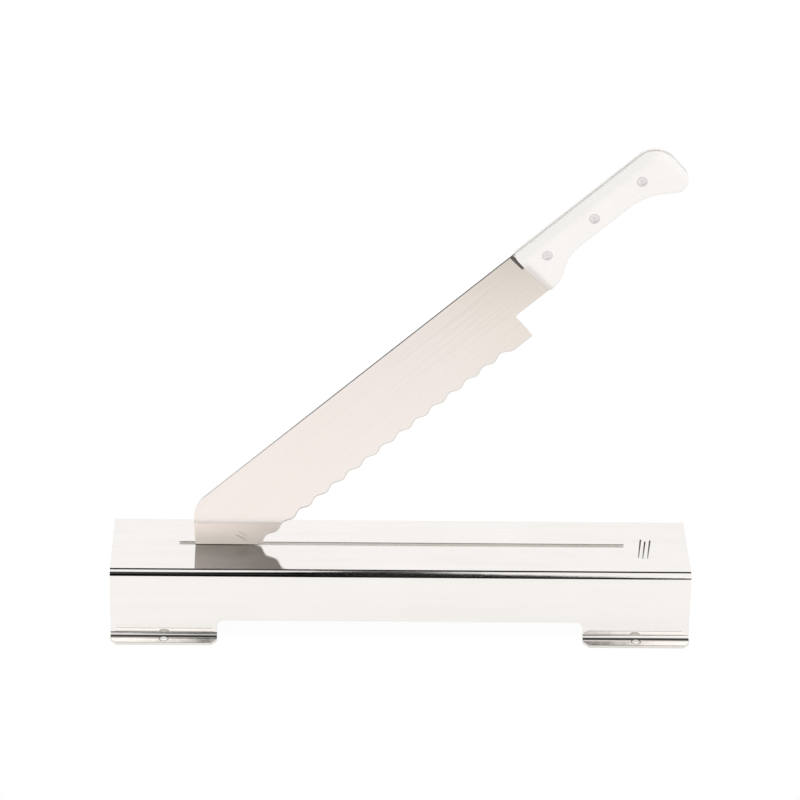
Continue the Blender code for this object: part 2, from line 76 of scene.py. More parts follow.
# Folded base
SHEET = 0.002
BASE_LENGTH = 0.400
BASE_WIDTH = 0.080
BASE_HEIGHT = 0.052
TOP_BEND_RADIUS = 0.0042
FOOT_BEND_RADIUS = 0.003
FOOT_REACH = 0.011
FOOT_LENGTH = 0.0735
FOOT_CORNER_LENGTH = 0.004
FOOT_CORNER_DEPTH = 0.0055
FOOT_HOLE_DIAMETER = 0.0056
FOOT_HOLE_X = 0.16323
FOOT_HOLE_Y = 0.0455
ARCH_HEIGHT = 0.0135
ARCH_FILLET = 0.005
SLOT_FRONT = -0.0019
SLOT_REAR = 0.0027
SLOT_TIP_END = -0.15328
SLOT_HANDLE_END = 0.15549
SLOT_CORNER = 0.6 * (SLOT_REAR - SLOT_FRONT) / 2
SHEET_EDGE_ROUNDING = 0.00065

# Strokes scored across the top: front and rear end of each
SCORED_STROKES = (
    ((0.1648, -0.0167), (0.1681, 0.0109)),
    ((0.1676, -0.0182), (0.1710, 0.0082)),
    ((0.1710, -0.0176), (0.1746, 0.0099)),
)

# Pivot
PIVOT = Vector((-0.12008, 0, 0.0427))
BOLT_DIAMETER = 0.006
THREAD_PITCH = 0.001
THREAD_DEPTH = 0.0006
HEX_FLATS = 0.010
HEX_CORNER_RADIUS = HEX_FLATS / 2 / cos(pi / 6)
HEX_Y = 0.0078
BOLT_HEAD_HEIGHT = 0.004
BOLT_END_Y = 0.0148
NUT_HEIGHT = 0.005
SPACER_Y = 0.0013
SPACER_THICKNESS = 0.001
SPACER_DIAMETER = 0.014
LUG_Y = 0.0026
LUG_THICKNESS = 0.003
LUG_LENGTH = 0.026
LUG_BELOW_PIVOT = 0.0085
LUG_FILLET = 0.008
WASHER_Y = 0.0059
WASHER_THICKNESS = 0.0016
WASHER_DIAMETER = 0.012
RING_ROOM = 0.0002
RING_EASING = 0.00015
LUG_EASING = 0.0003
TURNED_CHAMFER = 0.0006
SHANK_CHAMFER = 0.0002
BORE_CHAMFER = 0.0001

# Weld beads, each a row of squashed drops that stops short of the lug's ends
WELD_RADIUS = 0.0015
WELD_SQUASH = (0.75, 1, 0.9)
WELD_PITCH = 0.0011
WELD_SHORTFALL = 0.003
WELD_FINENESS = 0.00022

# Knife, measured from the pivot along the blade and up to its back
KNIFE_ANGLE = radians(41.6)
BLADE_THICKNESS = 0.002
BACK_RISE = 0.0451
EDGE_DROP = 0.0077
TIP_BACK_REACH = 0.0085
TIP_SLOPE = radians(51)
TIP_BACK_FILLET = 0.021
TIP_EDGE_FILLET = 0.012
SCALLOP_PITCH = 0.01514
SCALLOP_DEPTH = 0.0023
SCALLOP_COUNT = 14
SCALLOP_STEPS = 24
HEEL_REACH = 0.2691
HEEL_LENGTH = 0.0164
HEEL_RAMP = 0.0089
HEEL_BOTTOM = 0.0093
HEEL_FILLET = 0.0006
NECK_BOTTOM = 0.0096
NOTCH_FILLET = 0.003

# The grind: the edge lies close behind the front face, and what is ground away on each
# side rises this far over it
EDGE_SETBACK = 0.00016
EDGE_LAND = 0.00012
FRONT_GRIND_RISE = 0.0009
REAR_GRIND_RISE = 0.0058
GRIND_BLOCK_DEPTH = 0.012
GRIND_OVERRUN = 1.5
BACK_BEVEL = 0.00015
BEVELLED_TIP_REACH = 0.005

# Arcs rubbed on the blade about the pivot: radius, from and to angle, strength
RUBBED_ARCS = ((0.018, 0, 31, 0.8), (0.021, 5, 29, 0.45))

# Handle. Depths are measured from its top edge, the grip's front and the first rivet
# from its front end, and the grip's rear and the butt from its rear end
HANDLE_FRONT = 0.2989
HANDLE_LENGTH = 0.1248
HANDLE_END = HANDLE_FRONT + HANDLE_LENGTH
FRONT_SLANT = 0.0024
NECK_END = HANDLE_FRONT + FRONT_SLANT
FRONT_SQUARE_DEPTH = 0.010
FRONT_EDGE_FILLET = 0.06
FRONT_DEPTH = 0.0349
FRONT_SWELL_LENGTH = 0.0112
FRONT_SWELL_FILLET = 0.0198
GRIP_DEPTH = 0.0232
GRIP_FRONT = 0.02845
GRIP_FRONT_FILLET = 0.026
GRIP_REAR = 0.0303
GRIP_REAR_FILLET = 0.042
BUTT_DEPTH = 0.0369
BUTT_SWELL_LENGTH = 0.0118
BUTT_SWELL_FILLET = 0.006
BUTT_BOTTOM_FILLET = 0.0084
BUTT_TOP_FILLET = 0.0165
SCALE_Y = 0.0013
SCALE_THICKNESS = 0.0064
HANDLE_SIDE = SCALE_Y + SCALE_THICKNESS
SCALE_ROUNDING = 0.004
TANG_INSET = 0.0002

# Rivets, from the front one, and the rings turned into their heads
RIVET_COUNT = 3
RIVET_FIRST = HANDLE_FRONT + 0.0175
RIVET_PITCH = 0.041
RIVET_PLACES = [RIVET_FIRST + index * RIVET_PITCH for index in range(RIVET_COUNT)]
RIVET_RISE = BACK_RISE - 0.0127
RIVET_HEAD_RADIUS = 0.0033
RIVET_HEAD_THICKNESS = 0.0015
RIVET_SLEEVE_RADIUS = 0.0023
RIVET_STUD_RADIUS = 0.0013
RIVET_RIM = 0.0002
RIVET_RIM_SINK = 0.00002
RIVET_FACE = 0.0011
RIVET_GROOVE = 0.0003
RIVET_GROOVE_DEPTH = 0.00012
RIVET_CENTRE_RING = 0.0002
RIVET_CENTRE_RISE = 0.00008
RIVET_EASING = 0.00012

# Both sides of the knife, as the pieces' names say them
SIDES = (("front", -1), ("rear", 1))

# The middle range of a noise texture
TEXTURE_LOW = 0.35
TEXTURE_HIGH = 0.65

# The steel's grain: how it is stretched along X, Y and Z, and how fine and deep it is
EVEN_GRAIN = (1, 1, 1)
LENGTHWISE_GRAIN = (0.01, 1, 1)
GRAIN_FINENESS = 900
GRAIN_DEPTH = 0.00005
STREAK_STRETCH = (0.06, 1, 1)
STREAK_FINENESS = 140
SMUDGE_FINENESS = 18
RIPPLE_STRETCH = (0.5, 1, 1)
RIPPLE_FINENESS = 70
RIPPLE_DEPTH = 0.0004

# The plastic's grain
PLASTIC_FINENESS = 1600
PLASTIC_RELIEF = 0.06
PLASTIC_DEPTH = 0.0001
PLASTIC_ROUGHNESS = (0.32, 0.42)
PLASTIC_IOR = 1.49
CLOUD_FINENESS = 35

# Colours of the marks: the strokes and the arcs are real marks, and the rest are painted shade and
# painted reflections
STROKE_COLOUR = (0.035, 0.032, 0.03)
FOLD_SHADE_COLOUR = (0.06, 0.06, 0.055)
EDGE_SHADE_COLOUR = (0.07, 0.068, 0.06)
SLOT_SHADE_COLOUR = (0.06, 0.055, 0.045)
BEND_SHADE_COLOUR = (0.075, 0.072, 0.066)
ARC_COLOUR = (0.16, 0.155, 0.14)
NECK_SHADE_COLOUR = (0.88, 0.80, 0.70)
PALE_REFLECTION_COLOUR = (0.97, 0.905, 0.855)
PALE_REFLECTION_EDGE_COLOUR = (0.74, 0.68, 0.62)
DARK_REFLECTION_COLOUR = (0.07, 0.068, 0.062)
LOW_SHADE_COLOUR = (0.47, 0.46, 0.385)
BACK_SHADE_COLOUR = (0.13, 0.125, 0.12)
HANDLE_TOP_SHADE_COLOUR = (0.79, 0.775, 0.755)
FRONT_END_SHADE_COLOUR = (0.735, 0.695, 0.655)
RIVET_SHADE_COLOUR = (0.82, 0.80, 0.79)

# How far the handle's front end slants back as it goes down
FRONT_END_SLANT = 0.068

# The marks, and the painted shade and reflections. A fade is where it starts and where it is
# complete, in metres from the line that it is measured from, and for a stroke's length in
# halves of that length
STROKE_WIDTH = 0.00054
STROKE_WIDENING = 0.00016
STROKE_CORE = 0.6
STROKE_DEEPENING = (-3.2, 0.7)
STROKE_FRONT_FADE = (-1, -0.9)
STROKE_REAR_FADE = (0.96, 1)
STROKE_DEPTH_FADE = (-0.001, -0.0005)
FOLD_SHADE_RISE_FADE = (0.0004, 0.0008)
FOLD_SHADE_REACH_FADE = (0.0004, 0.0010)
FOOT_TOP_FADE = (0.0002, 0.0004)
FOOT_EDGE_SHADE_FADE = (-0.0010, -0.0008)
FOOT_EDGE_SHADE_STRENGTH = 0.6
HOLE_SHADE_FADE = (0.0005, 0.0008)
HOLE_SHADE_STRENGTH = 0.8
RIM_FRONT_FADE = (0, 0.0001)
RIM_REAR_FADE = (0.0009, 0.0011)
RIM_DEPTH_FADE = (-0.007, -0.006)
RIM_END_FADE = (0.0002, 0.0008)
SLOT_SHADE_STRENGTH = 0.9
BEND_SHADE_TOP_FADE = (-0.0015, -0.0011)
BEND_SHADE_BOTTOM_FADE = (-0.0038, -0.0031)
BEND_SHADE_REAR_FADE = (0.001, 0.004)
BEND_SHADE_END_FADE = (-0.07, -0.01)
ARC_SIDE_FADE = (0.0001, 0.0004)
ARC_START_DEGREES = 8
ARC_END_DEGREES = 3
NECK_SHADE_FADE = (0.20, 0.29)
NECK_SHADE_STRENGTH = 0.6
DARK_REFLECTION_SETBACK = 0.0030
DARK_REFLECTION_SLANT = 0.15
DARK_REFLECTION_WIDENING = 0.10
DARK_REFLECTION_SIDE_FADE = (0.0009, 0.0016)
DARK_REFLECTION_END_FADE = (0.0112, 0.0128)
DARK_REFLECTION_STRENGTH = 0.9
STRIP_WIDTH = 0.0023
STRIP_START_FADE = (0.0105, 0.0125)
STRIP_SIDE_FADE = (0, 0.0004)
STRIP_LINE_FADE = (0.0002, 0.0006)
STRIP_LINE_STRENGTH = 0.6
LOW_SHADE_RISE_FADE = (-0.001, 0.0165)
LOW_SHADE_PALING_FADE = (-0.130, -0.100)
LOW_SHADE_PALING = 0.25
LOW_SHADE_STRENGTH = 0.55
DULLED_RISE_FADE = (0.018, 0.026)
DULLED_ROUGHNESS = 0.12
BACK_SHADE_TOP_FADE = (-0.0008, -0.0004)
BACK_SHADE_START_FADE = (0.03, 0.15)
BACK_SHADE_STRENGTH = 0.9
HANDLE_TOP_SHADE_FADE = (0.001, 0.0085)
HANDLE_TOP_SHADE_STRENGTH = 0.6
FRONT_END_SHADE_REACH_FADE = (0.0008, 0.0052)
FRONT_END_SHADE_START_FADE = (0.004, 0.012)
RIVET_SHADE_FADE = (0, 0.0016)
RIVET_SHADE_STRENGTH = 0.25

# The tent, by the direction that polished steel mirrors. Lean is that direction's angle
# in degrees from straight up, towards the camera, and across is its share along X. A
# zone is where it starts, how softly, where it ends and how softly. A fade is where it
# starts and where it is complete
SEAM_LEAN = (-60, 0.7, -16.5, 2)
OVERHEAD_LEAN = (-33, 3, 42, 3)
OVERHEAD_ACROSS = (0.004, 0.006, 0.032, 0.008)
LOW_GAP_LEAN = (54.2, 0.4, 60.4, 0.4)
LOW_GAP_ACROSS = (0.056, 0.003, 0.0705, 0.0055)
FLAP_LEAN = (61.6, 0.4, 66.4, 0.4)
LOW_FLAP_LEAN = (56.1, 0.4, 58.6, 0.4)
FAINT_FLAP_LEAN = (58.7, 0.4, 60.7, 0.4)
FAINT_FLAP_ACROSS = (-0.037, 0.002, -0.007, 0.003)
SIDE_BAND_LEAN = (-87, 1.5, -70, 3)
SIDE_BAND_ACROSS = (0.28, 0.05, 0.6, 0.05)
ROOF_BANDS_LEAN = (14, 2, 26, 2)
NEAR_CAMERA_ACROSS = (-0.15, 0.03, 0.17, 0.03)
FLAP_SIDES = ((-0.006, 0.002), (0.060, 0.066))
LOW_FLAP_SIDES = ((-0.0365, -0.0225), (0.0775, 0.084))
FAINT_FLAP_FADE = (-0.0345, -0.025)
OPENING_LEFT_SLANT = 13.9
OPENING_LEFT_FADE = (0.086, 0.186)
OPENING_RIGHT_SLANT = 23.8
OPENING_RIGHT_FADE = (-0.549, -0.429)
OPENING_LOW_FADE = (109.6, 113.3)
LOW_BAND_FADE = (73, 77)
LOW_BAND_RIGHT_FADE = (0.086, 0.098)
LEVEL_FADE = (90, 95)
TABLE_FADE = (113.6, 116)

# How dark the tent's gaps and seam are in polished metal, and how far the flaps lift them
GAP_DARKNESS = 0.985
SEAM_DARKNESS = 0.98
OVERHEAD_SHARE = 0.95
LOW_GAP_SHARE = 0.97
ROOF_BANDS_SHARE = 0.9
BELOW_LEVEL_DARKNESS = 0.035
FLAP_LIFT = 0.28
LOW_FLAP_LIFT = 0.55
FAINT_FLAP_LOW = 0.05
FAINT_FLAP_RISE = 0.5

# The tent's strength: in shine, and as soft light from below and how much more from above
SHINE_STRENGTH = 1.06
SOFT_STRENGTH = 0.98
SOFT_RISE = 0.10

# The table: its plain grey, and its glow and its shadow in shine and to the eye
TABLE_GREY = 0.92
SHINE_GLOW = 0.80
SHINE_SHADOW = 0.24
EYE_GLOW = 0.94
EYE_SHADOW = 0.08


# Modelling by hand: what is selected, drawn and finished


def only(piece):
    """Makes one object the only one selected, and the active one."""
    bpy.ops.object.select_all(action="DESELECT")
    piece.select_set(True)
    bpy.context.view_layer.objects.active = piece


def edit(piece):
    only(piece)
    bpy.ops.object.mode_set(mode="EDIT")


def leave():
    bpy.ops.object.mode_set(mode="OBJECT")


def pick(kind, test):
    """Selects the corners, edges or faces in edit mode that pass a test."""
    bpy.ops.mesh.select_mode(type=kind)
    bpy.ops.mesh.select_all(action="DESELECT")
    mesh = bpy.context.object.data
    shape = bmesh.from_edit_mesh(mesh)
    items = {"VERT": shape.verts, "EDGE": shape.edges, "FACE": shape.faces}[kind]
    for item in items:
        if test(item):
            item.select_set(True)
    shape.select_flush_mode()
    bmesh.update_edit_mesh(mesh)


def middle(item):
    """The middle of an edge or a face."""
    total = Vector((0, 0, 0))
    for spot in item.verts:
        total += spot.co
    return total / len(item.verts)


def fresh(name, size=None):
    """Names the primitive just added, gives it its size and puts its place into its mesh."""
    piece = bpy.context.object
    piece.name = name
    piece.data.name = name
    if size:
        piece.scale = size
    bpy.ops.object.transform_apply(location=True, rotation=True, scale=True)
    return piece


def move(x=0, y=0, z=0):
    bpy.ops.transform.translate(value=(x, y, z))


def pull(x=0, y=0, z=0):
    """Extrudes what is selected."""
    bpy.ops.mesh.extrude_region_move(TRANSFORM_OT_translate={"value": (x, y, z)})


def tidy_mesh():
    bpy.ops.mesh.select_all(action="SELECT")
    bpy.ops.mesh.remove_doubles(threshold=MERGE_DISTANCE)
    bpy.ops.mesh.normals_make_consistent(inside=False)


def finish_modifiers(piece):
    only(piece)
    for modifier in list(piece.modifiers):
        bpy.ops.object.modifier_apply(modifier=modifier.name)


def cut(piece, cutters, operation="DIFFERENCE"):
    """Cuts, joins or trims a piece with others, which are then thrown away."""
    for cutter in cutters:
        modifier = piece.modifiers.new(cutter.name, "BOOLEAN")
        modifier.operation = operation
        modifier.object = cutter
        modifier.solver = "EXACT"
        modifier.material_mode = "TRANSFER"
    finish_modifiers(piece)
    for cutter in cutters:
        bpy.data.objects.remove(cutter)


def ease_edges(piece, width, angle=30, steps=2, material=-1):
    """Takes the sharpness off a piece's edges and keeps its flat faces flat."""
    bevel = piece.modifiers.new("Eased edges", "BEVEL")
    bevel.material = material
    bevel.width = width
    bevel.segments = steps
    bevel.limit_method = "ANGLE"
    bevel.angle_limit = radians(angle)
    bevel.use_clamp_overlap = True
    bevel.miter_outer = "MITER_ARC"
    finish_modifiers(piece)
    flatten(piece)


def flatten(piece):
    """Smooth shading whose large flat faces stay flat."""
    only(piece)
    bpy.ops.object.shade_smooth_by_angle(angle=SMOOTH_ANGLE)
    weighted = piece.modifiers.new("Flat faces", "WEIGHTED_NORMAL")
    weighted.weight = 100
    weighted.keep_sharp = True
    finish_modifiers(piece)


def place(piece, spot, turn):
    """Turns and moves a piece and puts that into its mesh."""
    only(piece)
    piece.rotation_euler = turn
    piece.location = spot
    bpy.ops.object.transform_apply(location=True, rotation=True, scale=True)


def raise_knife(piece):
    """Turns a piece drawn along the blade up about the pivot."""
    place(piece, PIVOT, (0, -KNIFE_ANGLE, 0))


def dress(piece, body, slot, *nodes):
    """Lets a piece ride a body and stand for CAD nodes, which it hides. Its slot is not used."""
    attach(piece, body)
    if nodes:
        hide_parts(*nodes)


def paint(piece, *materials):
    piece.data.materials.clear()
    for material in materials:
        piece.data.materials.append(material)


# Outlines drawn in the upright plane, from corners given as (x, z, fillet radius)


def fillet_arcs(corners):
    """Where each corner's arc starts and ends, its centre and how far it turns.

    Two fillets that would meet on the line between them share its length.
    """
    spots = [Vector((x, 0, z)) for x, z, radius in corners]
    count = len(spots)
    backs = [spots[index - 1] - spots[index] for index in range(count)]
    aheads = [spots[(index + 1) % count] - spots[index] for index in range(count)]
    halves = [back.angle(ahead) / 2 for back, ahead in zip(backs, aheads)]
    reaches = [
        corner[2] / tan(half) if corner[2] else 0 for corner, half in zip(corners, halves)
    ]
    arcs = []
    for index, corner in enumerate(spots):
        if reaches[index] == 0:
            arcs.append((corner, corner, corner, 0))
            continue
        back_share = reaches[index] + reaches[index - 1]
        ahead_share = reaches[index] + reaches[(index + 1) % count]
        room = min(1, backs[index].length / back_share, aheads[index].length / ahead_share)
        back = backs[index].normalized()
        ahead = aheads[index].normalized()
        middle_line = (back + ahead).normalized()
        centre = corner + middle_line * corners[index][2] * room / sin(halves[index])
        start = corner + back * reaches[index] * room
        end = corner + ahead * reaches[index] * room
        turn = (pi - 2 * halves[index]) * (1 if back.cross(ahead).y > 0 else -1)
        arcs.append((start, end, centre, turn))
    return arcs


def start_outline(name, x, y, z):
    """Begins an outline in edit mode with one corner of a small plane."""
    width = 0.001
    bpy.ops.object.select_all(action="DESELECT")
    bpy.ops.mesh.primitive_plane_add(size=width, location=(x, y, z))
    piece = fresh(name)
    edit(piece)
    pick("VERT", lambda spot: spot.co.x > x or spot.co.y > y)
    bpy.ops.mesh.delete(type="VERT")
    bpy.ops.mesh.select_all(action="SELECT")
    move(width / 2, width / 2, 0)
    return piece


def drawn_face(name, corners, y):
    """Draws an outline by lines and arcs, and fills it."""
    arcs = fillet_arcs(corners)
    first = arcs[0][0]
    piece = start_outline(name, first.x, y, first.z)
    here = first
    for start, end, centre, turn in arcs:
        if (start - here).length > MERGE_DISTANCE:
            pull(start.x - here.x, 0, start.z - here.z)
        here = start
        if turn:
            bpy.ops.mesh.spin(
                steps=max(2, round(abs(turn) / ARC_STEP)),
                angle=turn,
                center=(centre.x, y, centre.z),
                axis=(0, 1, 0),
            )
            here = end
    pull(first.x - here.x, 0, first.z - here.z)
    bpy.ops.mesh.select_all(action="SELECT")
    bpy.ops.mesh.remove_doubles(threshold=MERGE_DISTANCE)
    bpy.ops.mesh.edge_face_add()
    leave()
    return piece


def drawn_plate(name, corners, y, thickness):
    """A plate of one outline, its faces at y and at y + thickness."""
    piece = drawn_face(name, corners, y)
    edit(piece)
    bpy.ops.mesh.select_mode(type="FACE")
    bpy.ops.mesh.select_all(action="SELECT")
    pull(0, thickness, 0)
    tidy_mesh()
    leave()
    return piece


def block(name, x, y, z, turn_z=0.0):
    """A cutter's block between two places along each axis."""
    bpy.ops.object.select_all(action="DESELECT")
    centre = [(low + high) / 2 for low, high in (x, y, z)]
    size = [high - low for low, high in (x, y, z)]
    bpy.ops.mesh.primitive_cube_add(size=1, location=centre, rotation=(0, 0, turn_z))
    return fresh(name, size)


def turned_blank(name, radius, x, z, low, high, sides=ROUND_SIDES):
    """A round blank along Y, between two places."""
    bpy.ops.object.select_all(action="DESELECT")
    bpy.ops.mesh.primitive_cylinder_add(
        vertices=sides,
        radius=radius,
        depth=high - low,
        location=(x, (low + high) / 2, z),
        rotation=(pi / 2, 0, 0),
    )
    return fresh(name)


def drill_across(name, radius, x, y, z, depth):
    """A round cutter along Y, through one place."""
    return turned_blank(name, radius, x, z, y - depth / 2, y + depth / 2)


def drill_down(name, radius, x, y, z, depth):
    """A round cutter along Z, through one place."""
    bpy.ops.object.select_all(action="DESELECT")
    bpy.ops.mesh.primitive_cylinder_add(
        vertices=ROUND_SIDES, radius=radius, depth=depth, location=(x, y, z)
    )
    return fresh(name)


# Folded base


def bend_side(side):
    """Folds one wall down from the top's long edge and its foot outwards."""
    half = BASE_WIDTH / 2
    pick("EDGE", lambda edge: all(side * spot.co.y > 0 for spot in edge.verts))
    bpy.ops.mesh.spin(
        steps=BEND_STEPS,
        angle=radians(90) * side,
        center=(0, side * (half - TOP_BEND_RADIUS), BASE_HEIGHT - TOP_BEND_RADIUS),
        axis=(1, 0, 0),
    )
    bend_start = SHEET + FOOT_BEND_RADIUS
    pull(0, 0, bend_start - (BASE_HEIGHT - TOP_BEND_RADIUS))
    bpy.ops.mesh.spin(
        steps=BEND_STEPS,
        angle=-radians(90) * side,
        center=(0, side * (half + FOOT_BEND_RADIUS), bend_start),
        axis=(1, 0, 0),
    )
    pull(0, side * (FOOT_REACH - FOOT_BEND_RADIUS), 0)


def slot_cutter():
    """The long slot's block, its ends rounded."""
    cutter = block(
        "slot_cutter",
        (SLOT_TIP_END, SLOT_HANDLE_END),
        (SLOT_FRONT, SLOT_REAR),
        (BASE_HEIGHT - SHEET - OVERCUT, BASE_HEIGHT + OVERCUT),
    )
    edit(cutter)
    pick("EDGE", lambda edge: abs(edge.verts[0].co.z - edge.verts[1].co.z) > SHEET)
    bpy.ops.mesh.bevel(offset=SLOT_CORNER, segments=CORNER_STEPS, affect="EDGES")
    tidy_mesh()
    leave()
    return cutter


def arch_cutter():
    """Opens both walls between the feet, with rounded upper corners."""
    end = BASE_LENGTH / 2 - FOOT_LENGTH
    reach = BASE_WIDTH / 2 + FOOT_REACH + OVERCUT
    cutter = block("arch_cutter", (-end, end), (-reach, reach), (-OVERCUT, ARCH_HEIGHT))

    def is_upper_corner(edge):
        spot = middle(edge)
        return abs(spot.x) > end * FAR_OUT and spot.z > ARCH_HEIGHT * FAR_OUT

    edit(cutter)
    pick("EDGE", is_upper_corner)
    bpy.ops.mesh.bevel(offset=ARCH_FILLET, segments=CORNER_STEPS, affect="EDGES")
    tidy_mesh()
    leave()
    return cutter


def foot_corner_cutter(side, corner_x, outwards):
    """A slanted block that takes one corner off a foot."""
    reach = 0.008
    slant = atan2(FOOT_CORNER_DEPTH, FOOT_CORNER_LENGTH)
    line_x = corner_x - outwards * FOOT_CORNER_LENGTH / 2
    line_y = side * (BASE_WIDTH / 2 + FOOT_REACH - FOOT_CORNER_DEPTH / 2)
    away = Vector((outwards * sin(slant), side * cos(slant)))
    centre_x = line_x + away.x * reach
    centre_y = line_y + away.y * reach
    return block(
        "foot_corner_cutter",
        (centre_x - reach, centre_x + reach),
        (centre_y - reach, centre_y + reach),
        (-OVERCUT, SHEET + OVERCUT / 2),
        turn_z=atan2(away.y, away.x),
    )


def foot_cutters():
    """Slanted blocks over the feet's corners, and the drills of their screw holes."""
    cutters = []
    for end in (-1, 1):
        for side in (-1, 1):
            outer_x = end * BASE_LENGTH / 2
            inner_x = end * (BASE_LENGTH / 2 - FOOT_LENGTH)
            cutters.append(foot_corner_cutter(side, outer_x, end))
            cutters.append(foot_corner_cutter(side, inner_x, -end))
            hole = drill_down(
                "foot_drill",
                FOOT_HOLE_DIAMETER / 2,
                end * FOOT_HOLE_X,
                side * FOOT_HOLE_Y,
                SHEET / 2,
                SHEET + 2 * OVERCUT,
            )
            cutters.append(hole)
    return cutters


def make_base(polished, sawn):
    """The folded sheet, bent round true radii, with its slot, arches and feet."""
    bpy.ops.object.select_all(action="DESELECT")
    bpy.ops.mesh.primitive_plane_add(size=1, location=(0, 0, BASE_HEIGHT))
    base = fresh("folded_base", (BASE_LENGTH, BASE_WIDTH - 2 * TOP_BEND_RADIUS, 1))
    edit(base)
    for side in (-1, 1):
        bend_side(side)
    tidy_mesh()
    leave()
    turn_upwards(base)
    solidify = base.modifiers.new("Sheet", "SOLIDIFY")
    solidify.thickness = SHEET
    solidify.offset = -1
    solidify.use_even_offset = True
    solidify.material_offset_rim = 1
    paint(base, polished, sawn)
    finish_modifiers(base)
    cutters = [slot_cutter(), arch_cutter(), *foot_cutters()]
    for cutter in cutters:
        paint(cutter, sawn)
    cut(base, cutters)
    ease_edges(base, SHEET_EDGE_ROUNDING, steps=4, material=0)
    dress(base, "base", "base_steel", "base_sheet")


def turn_upwards(piece):
    """Turns an open sheet's faces so that its top looks up."""
    top = max(piece.data.polygons, key=lambda face: face.area)
    if top.normal.z > 0:
        return
    edit(piece)
    bpy.ops.mesh.select_all(action="SELECT")
    bpy.ops.mesh.flip_normals()
    leave()


# Blade


def edge_wave():
    """The scalloped cutting edge, from the crest nearest the tip to the flat heel."""
    last_valley = HEEL_REACH - HEEL_LENGTH - HEEL_RAMP
    waves = SCALLOP_COUNT + 0.5
    first_crest = last_valley - SCALLOP_PITCH * waves
    points = []
    for step in range(round(waves * SCALLOP_STEPS)):
        along = first_crest + SCALLOP_PITCH * step / SCALLOP_STEPS
        rise = SCALLOP_DEPTH * (1 - cos(2 * pi * step / SCALLOP_STEPS)) / 2
        points.append((along, rise - EDGE_DROP, 0))
    ramp_rise = SCALLOP_DEPTH + HEEL_BOTTOM - EDGE_DROP
    ramp_steps = SCALLOP_STEPS // 2
    for step in range(ramp_steps + 1):
        along = last_valley + HEEL_RAMP * step / ramp_steps
        share = (1 + cos(pi * step / ramp_steps)) / 2
        points.append((along, ramp_rise * share - HEEL_BOTTOM, 0))
    return points


def blade_corners():
    """Blade and full tang in one: the tip, the edge, the notch, the tang and the back."""
    slope_run = (BACK_RISE + EDGE_DROP) / tan(TIP_SLOPE)
    tip = [
        (TIP_BACK_REACH, BACK_RISE, TIP_BACK_FILLET),
        (TIP_BACK_REACH - slope_run, -EDGE_DROP, TIP_EDGE_FILLET),
    ]
    notch = [
        (HEEL_REACH, -HEEL_BOTTOM, HEEL_FILLET),
        (HEEL_REACH, NECK_BOTTOM, NOTCH_FILLET),
        (NECK_END, NECK_BOTTOM, 0),
    ]
    tang = grip_corners(TANG_INSET) + [
        (HANDLE_FRONT, BACK_RISE - TANG_INSET, 0),
        (HANDLE_FRONT, BACK_RISE, 0),
    ]
    return tip + edge_wave() + notch + tang


def wave_cutter(name, side, start_y, run, rise, material):
    """Grinds one side of the blade: the edge's wave, drawn out aslant towards its face."""
    first_x, first_z, _ = edge_wave()[0]
    block_bottom = -HEEL_BOTTOM - GRIND_BLOCK_DEPTH
    outline = [
        (first_x - SCALLOP_PITCH / 2, first_z + SCALLOP_DEPTH, 0),
        (first_x - SCALLOP_PITCH / 4, first_z + SCALLOP_DEPTH / 2, 0),
        *edge_wave(),
        (HEEL_REACH + OVERCUT, -HEEL_BOTTOM, 0),
        (HEEL_REACH + OVERCUT, block_bottom, 0),
        (first_x - SCALLOP_PITCH / 2, block_bottom, 0),
    ]
    cutter = drawn_face(name, outline, start_y)
    edit(cutter)
    bpy.ops.mesh.select_mode(type="FACE")
    bpy.ops.mesh.select_all(action="SELECT")
    pull(0, side * run * GRIND_OVERRUN, rise * GRIND_OVERRUN)
    tidy_mesh()
    leave()
    paint(cutter, material)
    return cutter


def bevel_blade(half):
    """Takes the sharpness off the back, the neck, the tang and the tip, in edit mode."""

    def is_outer_edge(edge):
        spot = middle(edge)
        lengthwise = abs(edge.verts[0].co.y - edge.verts[1].co.y) < MERGE_DISTANCE
        unground = spot.z > NECK_BOTTOM - CLOSE_GAP or spot.x < BEVELLED_TIP_REACH
        return lengthwise and abs(spot.y) > half * FAR_OUT and unground

    pick("EDGE", is_outer_edge)
    bpy.ops.mesh.bevel(offset=BACK_BEVEL, segments=1, affect="EDGES", clamp_overlap=True)


def blade_cutters(half, ground):
    """Both grinds, and the drills for the pivot and the rivets."""
    edge_y = -half + EDGE_SETBACK
    rear_y = edge_y + EDGE_LAND
    through = 2 * BLADE_THICKNESS
    cutters = [
        wave_cutter("rear_grind", 1, rear_y, half - rear_y, REAR_GRIND_RISE, ground),
        wave_cutter("front_grind", -1, edge_y, edge_y + half, FRONT_GRIND_RISE, ground),
        drill_across("pivot_drill", BOLT_DIAMETER / 2 + GAP, 0, 0, 0, through),
    ]
    for x in RIVET_PLACES:
        bore = RIVET_SLEEVE_RADIUS + GAP
        cutters.append(drill_across("rivet_drill", bore, x, 0, RIVET_RISE, through))
    for cutter in cutters:
        paint(cutter, ground)
    return cutters


def make_blade(polished, ground, satin):
    """The serrated blade with its tang: a plate, ground from both sides along its wave."""
    half = BLADE_THICKNESS / 2
    blade = drawn_plate("serrated_blade", blade_corners(), -half, BLADE_THICKNESS)
    paint(blade, polished, ground, satin)
    edit(blade)
    # The plate's rim is ground steel, and satin all round the tang
    for slot_index, start_x in ((1, -1), (2, HANDLE_FRONT)):
        pick("FACE", lambda face: abs(face.normal.y) < FACING and middle(face).x > start_x)
        bpy.context.object.active_material_index = slot_index
        bpy.ops.object.material_slot_assign()
    bevel_blade(half)
    leave()
    cut(blade, blade_cutters(half, ground))
    only(blade)
    bpy.ops.object.shade_smooth_by_angle(angle=BLADE_SMOOTH_ANGLE)
    raise_knife(blade)
    dress(blade, "knife", "blade_steel", "blade")


# Handle


